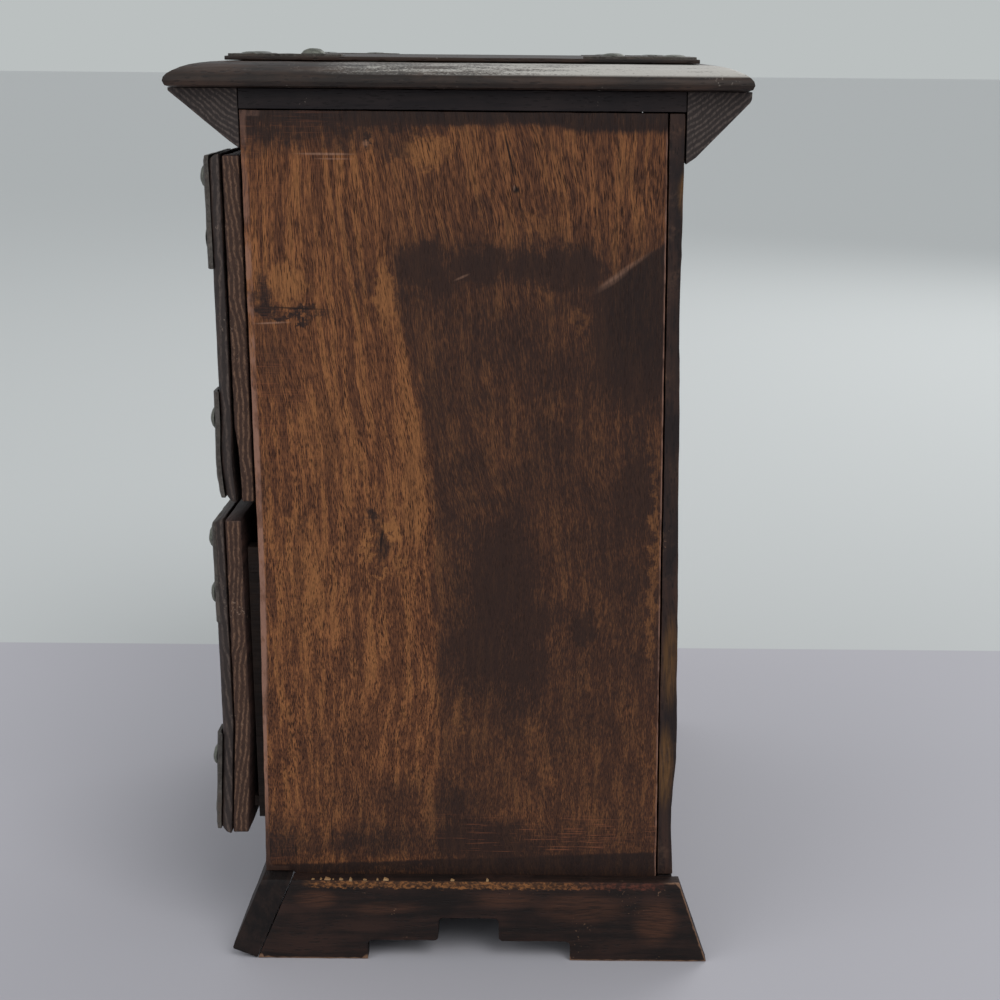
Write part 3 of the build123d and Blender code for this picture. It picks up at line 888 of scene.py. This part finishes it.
def makeSidePanel():
    low, high = boxOf("side_panel_right")
    front, back, rear = sidePanel["front"], sidePanel["seatBack"], sidePanel["rear"]
    foot, seat, flareTop, top = (sidePanel[level] for level in ("foot", "seat", "flareTop", "top"))
    levels = [seat, flareTop] + [level for groove in sidePanel["grooves"] for level in groove]
    panel = startBlock("rightSidePanel", (low[0], back, foot), (high[0], rear, top))
    editOn(panel)
    for level in levels:
        cutAt("z", level)
    pick(panel, "FACE", lambda at, out: near(at.y, back) and at.z > seat)
    extrudeBy(0, front - back, 0)
    for level in levels + [foot]:
        outwards = sidePanel["flare"] * (flareTop - level) / (flareTop - seat)
        if level > seat - 1 and outwards > 0:
            drag(panel, lambda at: near(at.y, front) and near(at.z, level), 0, -outwards, 0)
        backwards = sidePanel["rearFlare"] * (top - level) / (top - foot)
        drag(panel, lambda at: near(at.y, rear) and near(at.z, level), 0, backwards, 0)
    for grooveLow, grooveHigh in sidePanel["grooves"]:
        pick(panel, "FACE", lambda at, out: near(at.x, low[0]) and grooveLow < at.z < grooveHigh)
        extrudeBy(sidePanel["grooveDepth"], 0, 0)
    editOff()
    facesOut(panel)
    wear(panel, sidePanel["look"])
    return panel


rightPanel = makeSidePanel()
leftPanel = mirrored(rightPanel, "leftSidePanel")
settle(rightPanel, "rightPanelWood", "side_panel_right", slot="side_panel_wood")
settle(leftPanel, "leftPanelWood", "side_panel_left", slot="side_panel_wood")
print("side panels done")


# Back board and the board that closes the carcass above

backBoard = {
    "front": 70.3,          # at its upper end, from where it leans back towards its foot
    "thick": 6.0,
    "flare": 2.1,
    "look": {"round": 0.6, "cells": (5, 0, 4), "reach": 2.4, "dents": (40, 0.3), "chips": (5, 0.5)},
    # height and how far its outer face has worn in (less than 0) or stands out, all in millimetres
    "wear": [
        (317, -0.2), (270, -0.45), (256, -0.8), (240, -0.75), (226, -0.45), (206, -0.15), (180, -0.1), (163, 0.3),
        (141, 0.6), (113, 0.6), (99, 0.9), (80, 0.95), (72, 0.2), (62, -0.45), (54, -0.5), (46, -0.2), (33, 0.5),
    ],
}


def wearAt(height):
    pairs = backBoard["wear"]
    for (highZ, highShift), (lowZ, lowShift) in zip(pairs, pairs[1:]):
        if lowZ <= height <= highZ:
            return lowShift + (highShift - lowShift) * (height - lowZ) / (highZ - lowZ)
    return 0.0


def makeBackBoard():
    low, high = boxOf("back_board")
    front, rear = backBoard["front"], backBoard["front"] + backBoard["thick"]
    board = startBlock("backBoard", (low[0], front, low[2]), (high[0], rear, high[2]))
    editOn(board)
    drag(board, lambda at: near(at.z, low[2]), 0, backBoard["flare"], 0)
    editOff()
    wear(board, backBoard["look"])
    # first what has worn in, then what stands out
    for sign in (-1, 1):
        bend(board, lambda at: max(0.0, sign * wearAt(at.z)) if at.y > rear - 1 else 0.0, sign)
    return board


settle(makeBackBoard(), "backWood", "back_board")

strip = startBlock("carcassTop", *boxOf("carcass_top"))
wear(strip, {"round": 0.35, "cells": (5, 4, 0), "reach": 1.6, "dents": (28, 0.15), "chips": (5, 0.25)})
settle(strip, "stripWood", "carcass_top")
print("back board and carcass top done")


# Top board: its upper edges are quarter ellipses, built up ring by ring

topBoard = {
    "run": 17.0,
    "rise": 6.4,
    "under": 2.0,
    "underShare": 0.3,
    "rings": 8,
    # the wear is strongest along a line in from the rim, given by half its lengths
    "rimInset": 3,
    "rimDrop": 1.5,
    "rimHalves": (115, 96),
    "look": {"cells": (4, 3, 0), "reach": 5.0, "dents": (22, 0.25), "chips": (5, 0.4)},
}


def makeTopBoard():
    low, high = boxOf("top_board")
    halfX, halfY, thick = high[0], high[1], high[2] - low[2]
    under, rise, rings = topBoard["under"], topBoard["rise"], topBoard["rings"]
    board = startSheet("topBoard", (0, 0, low[2]), (2 * (halfX - under), 2 * (halfY - under)))
    # inset and height of each ring above the under face
    first = under * topBoard["underShare"]
    profile = [(first, first), (0.0, under), (0.0, thick - rise)]
    for step in range(1, rings + 1):
        turn = math.pi / 2 * step / rings
        profile.append((topBoard["run"] * (1 - math.cos(turn)), thick - rise * (1 - math.sin(turn))))
    editOn(board)
    lastInset, lastHeight = under, 0.0
    for inset, height in profile:
        extrudeBy(0, 0, height - lastHeight)
        scaleBy((halfX - inset) / (halfX - lastInset), (halfY - inset) / (halfY - lastInset))
        lastInset, lastHeight = inset, height
    editOff()
    facesOut(board)
    rimX, rimY, rimZ = halfX - topBoard["rimInset"], halfY - topBoard["rimInset"], high[2] - topBoard["rimDrop"]
    runX, runY = (range(-half, half + 1, 2) for half in topBoard["rimHalves"])
    points = [(side * rimX, y, rimZ) for side in (-1, 1) for y in runY]
    points += [(x, side * rimY, rimZ) for side in (-1, 1) for x in runX]
    wear(board, topBoard["look"], [Vector(point) * mm for point in points])
    return board


settle(makeTopBoard(), "topBoardWood", "top_board")
print("top board done")


# Cornice blocks under the front and back overhang

cornice = {
    "lip": {"front": 1.2, "back": 3.1},
    "tipRound": {"front": 0, "back": 1.0},
    "endRun": 3.4,
    "endDrop": 2.4,
    "look": {"round": 0.3, "cells": (5, 4, 4), "reach": 2.2, "dents": (28, 0.1), "chips": (4, 0.2)},
}


def makeCornice(which):
    low, high = boxOf(f"{which}_cornice")
    # the y of the carcass face and of the outer end
    wall, tip = (high[1], low[1]) if which == "front" else (low[1], high[1])
    lipZ = high[2] - cornice["lip"][which]
    block = startBlock(f"{which}Cornice", low, high)
    editOn(block)
    cutAt("z", lipZ)
    inwards = wall + math.copysign(cornice["endRun"], tip) - tip
    drag(block, lambda at: near(at.y, tip, 0.3) and near(at.z, low[2]), 0, inwards, cornice["endDrop"])
    if cornice["tipRound"][which]:
        pick(block, "EDGE", lambda at, run: near(at.y, tip) and near(at.z, lipZ) and abs(run.x) > 0.9)
        bevelBy(cornice["tipRound"][which])
    editOff()
    facesOut(block)
    wear(block, cornice["look"])
    return block


for which in ("front", "back"):
    settle(makeCornice(which), "corniceWood", f"{which}_cornice")

raised = startBlock("raisedTopPanel", *boxOf("raised_top_panel"))
wear(raised, {"round": 0.45, "cells": (5, 4, 0), "reach": 1.6, "dents": (28, 0.2), "chips": (5, 0.35)})
settle(raised, "topWood", "raised_top_panel")
print("cornices and raised panel done")


# Base boards with stepped cut-outs

baseBoards = {
    "levels": (8.0, 17.5),
    "below": -2,            # the cutters start below the floor
    "sideHalf": (38.5, 11.3),
    "sideMiddle": 0.8,
    "frontHalf": (74.0, 46.0),
    "cornerRound": 1.8,
    "frontLean": 23.0,
    "frontThick": 10.5,
    "frontLength": 44.0,
    "heel": -80.2,
    "toeRound": 0.9,
    "sideFoot": 0.9,        # the feet of the side boards run out a little further at the back
    "top": 33.5,
    "sideTop": (-65.98, 80.8),
    "sideCells": (0, 2.5, 2.5),
    "frontCells": (4, 0, 3),
    "look": {"round": 0.25, "reach": 2.2, "dents": (20, 0.15), "chips": (4, 0.4)},
}


def cutOpening(board, across, low, high, halves, middle=0.0):
    # cuts with a stepped bar that runs from low to high along y, or along x for the side boards
    wide, narrow = halves
    levelLow, levelHigh = baseBoards["levels"]
    index = "xyz".index(across)
    start, end = [low, low, baseBoards["below"]], [high, high, levelLow]
    start[index], end[index] = -wide, wide
    cutter = startBlock("cutter", start, end)
    editOn(cutter)
    cutAt(across, -narrow)
    cutAt(across, narrow)
    pick(cutter, "FACE", lambda at, out: near(at.z, levelLow) and abs(at[index]) < narrow)
    extrudeBy(0, 0, levelHigh - levelLow)

    def isCorner(at, run):
        outer = near(abs(at[index]), wide) and near(at.z, levelLow)
        inner = near(abs(at[index]), narrow) and at.z > 0
        return abs(run[index]) <= 0.1 and abs(run.z) <= 0.1 and (outer or inner)

    pick(cutter, "EDGE", isCorner)
    bevelBy(baseBoards["cornerRound"])
    bpy.ops.mesh.select_all(action="SELECT")
    moveBy(*along(across, middle))
    editOff()
    facesOut(cutter)
    facesOut(board)
    modify(board, "BOOLEAN", operation="DIFFERENCE", solver="EXACT", object=cutter)
    bpy.data.objects.remove(cutter)


def makeSideBase():
    low, high = boxOf("side_base_board_right")
    board = startBlock("rightBaseBoard", low, high)
    topFront, topBack = baseBoards["sideTop"]
    editOn(board)
    drag(board, lambda at: near(at.z, high[2]) and at.y < 0, 0, topFront - low[1], 0)
    drag(board, lambda at: near(at.z, high[2]) and at.y > 0, 0, topBack - high[1], 0)
    drag(board, lambda at: near(at.z, 0) and at.y > 0, 0, baseBoards["sideFoot"], 0)
    editOff()
    cutOpening(board, "y", low[0] - 2, high[0] + 2, baseBoards["sideHalf"], baseBoards["sideMiddle"])
    wear(board, dict(baseBoards["look"], cells=baseBoards["sideCells"]))
    return board


def startFrontBase():
    # a leaning board, cut level at its top and rounded at its toe
    low, high = boxOf("front_base_board")
    thick, heel = baseBoards["frontThick"], baseBoards["heel"]
    board = startBlock("frontBaseBoard", (low[0], -thick, 0), (high[0], 0, baseBoards["frontLength"]))
    standAt(board, (-math.radians(baseBoards["frontLean"]), 0, 0), (0, heel, 0))
    editOn(board)
    cutAt("z", baseBoards["top"], clear_outer=True, use_fill=True)
    pick(board, "EDGE", lambda at, run: at.y < heel - 6 and at.z < 8 and abs(run.x) > 0.9)
    bevelBy(baseBoards["toeRound"])
    editOff()
    return board


def finishCrossBase(board, node):
    low, high = boxOf(node)
    cutOpening(board, "x", low[1] - 5, high[1] + 5, baseBoards["frontHalf"])
    wear(board, dict(baseBoards["look"], cells=baseBoards["frontCells"]))
    settle(board, "frontBaseWood", node)


rightBase = makeSideBase()
leftBase = mirrored(rightBase, "leftBaseBoard")
settle(rightBase, "sideBaseWood", "side_base_board_right")
settle(leftBase, "sideBaseWood", "side_base_board_left")
finishCrossBase(startFrontBase(), "front_base_board")
finishCrossBase(startBlock("backBaseBoard", *boxOf("back_base_board")), "back_base_board")


# Pale splinters that stand at the worn upper edge of the right base board

splinters = {
    "places": [-57.6, -54.8, -52.3, -50.0, -47.2, -43.6, -38.1, -33.4, -30.2, -12.5, -5.0, 8.2],
    "lengths": [2.6, 1.4, 3.2, 1.8, 2.2, 1.5, 2.6, 1.3, 2.8, 1.2, 2.2, 1.4],
    "thick": 0.5,
    "inner": 117.0,
    "outer": 117.8,
    "level": 32.9,
    "edgeRound": 0.08,
}


def makeSplinters():
    pieces = []
    level = splinters["level"]
    for count, (y, length) in enumerate(zip(splinters["places"], splinters["lengths"])):
        half = splinters["thick"] * (0.7 + 0.3 * (count % 3))
        low = (splinters["inner"] - half, y - length / 2, level)
        chip = startBlock(f"splinter{count}", low, (splinters["outer"], y + length / 2, level + half))
        editOn(chip)
        # both upper ends are drawn in and their heights differ a little
        drag(chip, lambda at: at.y > y and at.z > level + 0.1, -0.3, -length * 0.35, -0.1 * (count % 2))
        drag(chip, lambda at: at.y < y and at.z > level + 0.1, -0.5, length * 0.2, 0.15 + 0.1 * (count % 3))
        bpy.ops.mesh.select_all(action="SELECT")
        bevelBy(splinters["edgeRound"], 1)
        editOff()
        pieces.append(chip)
    joined = joinAll(pieces, "edgeSplinters")
    facesOut(joined)
    return joined


settle(makeSplinters(), "splinterWood")
print("base boards done")


# Iron corner plates, dome nails and ring pulls

iron = {
    "leg": 39.0,
    "tip": 10.0,
    "waist": 15.0,
    "legSteps": [(0.33, 0.52), (0.66, 0.18), (1.0, 0.0)],       # share of the length, and of the extra width
    "thick": 1.6,
    "plateLook": {"round": 0.2, "segments": 1, "cells": (2.0, 2.0, 0), "reach": 1.4, "dents": (7, 0.30)},
    "headRadius": 4.2,
    "headRise": 2.0,
    "headCut": 0.02,        # the sphere is cut a little above its middle
    "headDents": (2.4, 0.35),
    "shank": 0.6,
    "shankLength": 4.5,
    "nailSpots": [(7.0, 7.5), (28.5, 6.0), (6.0, 28.5)],
    "pullThick": 0.8,
    "pullGap": 1.6,
    "pullLook": {"round": 0.25, "segments": 2, "cells": (1.6, 1.6, 0), "reach": 1.2, "dents": (6, 0.30)},
    "ringRadius": 12.0,
    "ringWire": 1.2,
    "ringDents": (3, 0.22),
    "plateHalf": 15.0,
    "plateCorner": 4.0,
}


def makeCornerPlate():
    # one plate lying at the origin, its corner at 0,0 and its legs along x and y
    waist, leg, tip = iron["waist"], iron["leg"], iron["tip"]
    plate = startSheet("plate", (waist / 2, waist / 2, 0), (waist, waist))
    editOn(plate)
    # each leg is drawn out of the square corner in three steps, so its inner side is hollow
    for axis in (0, 1):
        pick(plate, "EDGE", lambda at, run: near(at[axis], waist) and at[1 - axis] < waist - 1)
        reach, width = 0.0, waist
        for share, fat in iron["legSteps"]:
            grown = share * (leg - waist)
            fatter = tip + (waist - tip) * fat
            extrudeBy(*along("xy"[axis], grown - reach))
            scaleBy(*((1, fatter / width) if axis == 0 else (fatter / width, 1)))
            reach, width = grown, fatter
    editOff()
    modify(plate, "SOLIDIFY", thickness=iron["thick"] * mm, offset=1.0)
    facesOut(plate)
    wear(plate, iron["plateLook"])
    return plate


def makeNail():
    # one domed nail standing on the origin
    radius, cut = iron["headRadius"], iron["headCut"]
    deselectAll()
    bpy.ops.mesh.primitive_uv_sphere_add(segments=18, ring_count=10, radius=radius * mm, location=(0, 0, 0))
    nail = takeName("nail")
    nail.scale = (1, 1, iron["headRise"] / radius)
    applyPlace(nail)
    editOn(nail)
    cutAt("z", cut, clear_inner=True, use_fill=True)
    pick(nail, "FACE", lambda at, out: at.z < 0.1 and out.z < -0.9)
    moveBy(0, 0, -cut)
    bpy.ops.mesh.inset(thickness=(radius - iron["shank"]) * mm)
    extrudeBy(0, 0, -iron["shankLength"])
    editOff()
    facesOut(nail)
    dent(nail, *iron["headDents"])
    return nail


plateModel = makeCornerPlate()
nailModel = makeNail()
cornerSigns = [(-1, -1), (1, -1), (1, 1), (-1, 1)]


def platesAndNails(prefix, toWorld, turn, halfA, halfB, sunk, heights):
    # halfA and halfB are the half sizes of the rectangle whose corners the plates fill,
    # sunk is how deep each sheet lies in the wood and heights how far its three nails stand up
    plates, nails = [], []
    for count, (signA, signB) in enumerate(cornerSigns):
        plate = copyOf(plateModel, f"{prefix}Plate{count}")
        plate.scale = (-signA, -signB, 1)
        applyPlace(plate)
        standAt(plate, turn, toWorld(signA * halfA, signB * halfB, -sunk[count]))
        plates.append(plate)
        for spot, (offA, offB) in enumerate(iron["nailSpots"]):
            nail = copyOf(nailModel, f"{prefix}Nail{count}{spot}")
            nail.rotation_euler.z = count * 1.1 + spot * 0.7
            nail.scale.z = heights[count][spot]
            applyPlace(nail)
            place = toWorld(signA * (halfA - offA), signB * (halfB - offB), iron["thick"] - sunk[count])
            standAt(nail, turn, place)
            nails.append(nail)
    joined = joinAll(plates, f"{prefix}CornerPlates"), joinAll(nails, f"{prefix}DomeNails")
    for piece in joined:
        facesOut(piece)
    return joined


low, high = boxOf("top_corner_plates")
topPlates, topNails = platesAndNails(
    "top", lambda a, b, up: (a, b, low[2] + up), (0, 0, 0), high[0], high[1], [1.3, 0.9, 0.9, 1.3],
    [(0.15, 0.15, 0.15), (0.3, 0.3, 1.0), (0.3, 0.3, 0.55), (0.15, 0.15, 0.15)],
)
settle(topPlates, "plateIron", "top_corner_plates", slot="wrought_iron")
settle(topNails, "nailIron", "top_dome_nails", slot="wrought_iron")
print("top plates and nails done")


# Drawers

drawerFront = {
    "faceRound": 4.4,
    "runShare": 0.3,        # the worn line lies this share of the rounding in from the corner
    "faceWorn": 0.7,        # the outer layer's upper edge has lost this share of what the inner one's has
    "face": {
        "round": 0.5, "segments": 2, "cells": (5, 0, 2.5), "reach": 2.4, "dents": (16, 0.35), "chips": (4, 0.6),
    },
    "backing": {"round": 1.0, "cells": (5, 0, 2.5), "reach": 2.2, "dents": (14, 0.35), "chips": (3, 0.7)},
}


def cornerRun(low, high):
    # points along the middle of the rounded front edges of a drawer face
    inset = drawerFront["faceRound"] * drawerFront["runShare"]
    lowX, highX = low[0] + inset, high[0] - inset
    lowZ, highZ = low[2] + inset, high[2] - inset
    y = low[1] + inset
    points = []
    for step in range(0, 101):
        share = step / 100
        x, z = lowX + (highX - lowX) * share, lowZ + (highZ - lowZ) * share
        points += [Vector((x, y, lowZ)), Vector((x, y, highZ)), Vector((lowX, y, z)), Vector((highX, y, z))]
    return [point * mm for point in points]


def makeFace(name, node, worn):
    low, high = boxOf(node)
    high[2] -= worn * drawerFront["faceWorn"]
    face = startBlock(name, low, high)
    editOn(face)
    pick(face, "FACE", lambda at, out: out.y < -0.9)
    bevelBy(drawerFront["faceRound"], 5)
    editOff()
    facesOut(face)
    wear(face, drawerFront["face"], cornerRun(low, high))
    return face


def makeBacking(name, node, worn):
    low, high = boxOf(node)
    high[2] -= worn
    backing = startBlock(name, low, high)
    wear(backing, drawerFront["backing"])
    return backing


def makePull(prefix, pivot):
    # the diamond plate and the ring, which hangs from its top
    plate = startSheet(f"{prefix}PullPlate", (0, 0, 0), (2 * iron["plateHalf"], 2 * iron["plateHalf"]))
    editOn(plate)
    bevelBy(iron["plateCorner"], 1, "VERTICES")
    editOff()
    modify(plate, "SOLIDIFY", thickness=iron["pullThick"] * mm, offset=1.0)
    plate.rotation_euler.z = math.pi / 4
    applyPlace(plate)
    facesOut(plate)
    wear(plate, iron["pullLook"])
    standAt(plate, (math.pi / 2, 0, 0), (0, pivot[1] + iron["pullGap"] + iron["pullThick"], pivot[2]))

    deselectAll()
    bpy.ops.mesh.primitive_torus_add(
        major_segments=64, minor_segments=14, major_radius=iron["ringRadius"] * mm,
        minor_radius=iron["ringWire"] * mm, rotation=(math.pi / 2, 0, 0),
        location=(0, pivot[1] * mm, (pivot[2] - iron["ringRadius"]) * mm),
    )
    ring = takeName(f"{prefix}PullRing")
    applyPlace(ring)
    dent(ring, *iron["ringDents"])
    return plate, ring


# how the drawer fronts are bent: the height where a bend starts or has its middle, how far it reaches up or
# down, and the power of its curve; hollowFront is the y behind which the inner layer stays as it is
bends = {
    "bow": (193, 14),
    "tuck": (197, 18, 1.7),
    "hollow": (190, 17, 0.7),
    "hollowFront": -80,
    "lean": (93, 44),
}


def allOver(at):
    return 1.0


def bowShape(at):
    # how far the upper front's outer layer bows out above its foot
    middle, reach = bends["bow"]
    share = (at.z - middle) / reach
    return max(0.0, 1 - share * share) if share > 0 else max(0.0, 1 + share)


def tuckShape(at):
    # its foot tucks in towards the carcass
    start, reach, power = bends["tuck"]
    return min(1.0, max(0.0, (start - at.z) / reach)) ** power


def hollowBacking(at):
    # the inner layer is rubbed hollow behind the open seam
    middle, reach, power = bends["hollow"]
    if at.y > bends["hollowFront"]:
        return 0.0
    return max(0.0, 1 - abs(at.z - middle) / reach) ** power if at.z > middle else 1.0


def leanShape(at):
    # the lower front leans out a little at its foot
    start, reach = bends["lean"]
    return min(1.0, max(0.0, (start - at.z) / reach))


# bends give a shape and how far it moves the front along y, and worn how much the upper edge has lost
drawerDetails = {
    "upper": {
        "bends": [(allOver, -0.4), (bowShape, -0.45), (tuckShape, 0.7)], "backingBend": (hollowBacking, 1.5),
        "worn": 1.1, "pullShift": -0.25, "sunk": [-0.3, -0.3, 0.0, 0.0],
        "nails": [(0.35, 0.35, 1.0), (0.35, 0.35, 1.0), (1.0, 1.0, 0.35), (1.0, 1.0, 0.35)],
    },
    "lower": {
        "bends": [(leanShape, -2.5)], "backingBend": (leanShape, -2.5),
        "worn": 0.3, "pullShift": -0.05, "sunk": [-0.3, -0.3, 1.2, 1.2],
        "nails": [(0.35, 0.35, 1.0), (0.35, 0.35, 1.0), (1.0, 1.0, 1.0), (1.0, 1.0, 1.0)],
    },
}

for which, details in drawerDetails.items():
    body = f"{which}_drawer"
    face = makeFace(f"{which}Face", f"{body}_front_panel", details["worn"])
    backing = makeBacking(f"{which}Backing", f"{body}_front_backing", details["worn"])
    plateLow, plateHigh = boxOf(f"{body}_corner_plates")
    middleZ = (plateLow[2] + plateHigh[2]) / 2
    halfZ = (plateHigh[2] - plateLow[2]) / 2
    plates, nails = platesAndNails(
        which, lambda a, b, up: (a, plateHigh[1] - up, middleZ + b), (math.pi / 2, 0, 0), plateHigh[0], halfZ,
        details["sunk"], details["nails"],
    )
    faceLow, faceHigh = boxOf(f"{body}_front_panel")

    def wrapShape(at):
        # the plates follow the rounding of the front's edges
        nearest = min(faceHigh[0] - abs(at.x), at.z - faceLow[2], faceHigh[2] - at.z)
        inside = drawerFront["faceRound"] - nearest
        return 1 - math.sqrt(max(0.0, 1 - (inside / drawerFront["faceRound"]) ** 2)) if inside > 0 else 0.0

    bend(plates, wrapShape, drawerFront["faceRound"])
    ringLow, ringHigh = boxOf(f"{body}_pull_ring")
    pivot = (0, (ringLow[1] + ringHigh[1]) / 2, ringHigh[2] - iron["ringWire"])
    pullPlate, pullRing = makePull(which, pivot)
    for shape, depth in details["bends"]:
        for piece in (face, plates, nails):
            bend(piece, shape, depth)
    bend(backing, *details["backingBend"])
    bend(pullPlate, allOver, details["pullShift"])
    settle(face, "faceWood", f"{body}_front_panel", body=body)
    settle(backing, "backingWood", f"{body}_front_backing", body=body)
    settle(plates, "plateIron", f"{body}_corner_plates", body=body, slot="wrought_iron")
    settle(nails, "nailIron", f"{body}_dome_nails", body=body, slot="wrought_iron")
    settle(pullPlate, "plateIron", f"{body}_pull_plate", body=body, slot="wrought_iron")
    settle(pullRing, "plateIron", f"{body}_pull_ring", body=f"{which}_pull", slot="wrought_iron")
    print(which, "drawer done")

for model in (plateModel, nailModel):
    bpy.data.objects.remove(model)


# CAD nodes that stay as they are, each with its finish

keptFinishes = dict.fromkeys(["divider_shelf", "carcass_bottom", "front_rail", "base_corner_blocks"], "shelfWood")
for body in ("upper_drawer", "lower_drawer"):
    for part in ("side_right", "side_left", "bottom"):
        keptFinishes[f"{body}_{part}"] = "boxWood"
    keptFinishes[f"{body}_back"] = "boxCrossWood"
    keptFinishes[f"{body}_pull_staple"] = "plateIron"
for name, finish in keptFinishes.items():
    nodes[name].data.materials.clear()
    nodes[name].data.materials.append(bpy.data.materials[finish])
print("kept nodes finished:", len(keptFinishes))


# Floor, lights and camera

stage = {
    "floorNear": paint(180, 179, 185),
    "floorSpots": paint(186, 184, 190),
    "wall": paint(198, 201, 200),
    "far": paint(187, 192, 192),
    "sky": paint(236, 240, 244),
    "wallLine": -225.0,     # where the table meets the wall in the picture, in millimetres
    "worldLight": 0.57,
    "lens": 59.37,
    "place": (0.681, 0.0381, 0.338),
    "pitch": 15.36,
    "roll": 0.5,
    "shift": -0.07,
}


def makeFloor():
    deselectAll()
    bpy.ops.mesh.primitive_plane_add(size=40, location=(0, 0, 0))
    floor = takeName("floor")
    shader, place = startMaterial("floorPaint")
    beyond = remap(apart(place)[0], stage["wallLine"] + 1, stage["wallLine"] - 1)
    nearColour = mixed(noiseOf(place, 3.0, 0.5, 0.004), stage["floorNear"], stage["floorSpots"])
    plug(mixed(beyond, nearColour, stage["wall"]), shader.inputs["Base Color"])
    shader.inputs["Roughness"].default_value = 0.7
    floor.data.materials.append(bpy.data.materials["floorPaint"])


def makeWorld():
    world = bpy.data.worlds.new("studio")
    bpy.context.scene.world = world
    world.use_nodes = True
    inputs = world.node_tree.nodes["Background"].inputs
    seen = put(world.node_tree, "ShaderNodeLightPath", output="Is Camera Ray")
    plug(mixed(seen, stage["sky"], stage["far"]), inputs["Color"])
    plug(remap(seen, 0.0, 1.0, stage["worldLight"], 1.0), inputs["Strength"])


def makeLight(kind, name, place, target, power, **settings):
    deselectAll()
    bpy.ops.object.light_add(type=kind, location=place)
    light = bpy.context.object
    light.name = name
    light.data.energy = power
    for key, value in settings.items():
        setattr(light.data, key, value)
    aim = Vector(target) - Vector(place)
    light.rotation_euler = aim.to_track_quat("-Z", "Y").to_euler()


def makeCamera():
    deselectAll()
    turn = (math.radians(90 - stage["pitch"]), 0, math.pi / 2)
    bpy.ops.object.camera_add(location=stage["place"], rotation=turn)
    camera = bpy.context.object
    camera.data.sensor_width = 36
    camera.data.lens = stage["lens"]
    camera.data.shift_x = stage["shift"]
    camera.data.clip_start = 0.01
    camera.data.clip_end = 60
    camera.rotation_euler.rotate_axis("Z", math.radians(stage["roll"]))
    bpy.context.scene.camera = camera


makeFloor()
makeWorld()
makeLight("SUN", "key", (1.3, 0.9, 1.7), (0, 0, 0), 0.95, angle=math.radians(34))
makeLight("AREA", "fill", (1.2, -1.4, 1.1), (0, 0, 0.15), 9, size=1.6)
makeLight("AREA", "rearSheen", (-1.4, 0.9, 1.2), (0, 0, 0.3), 10, size=1.2)
makeCamera()
bpy.context.scene.view_settings.view_transform = "Standard"
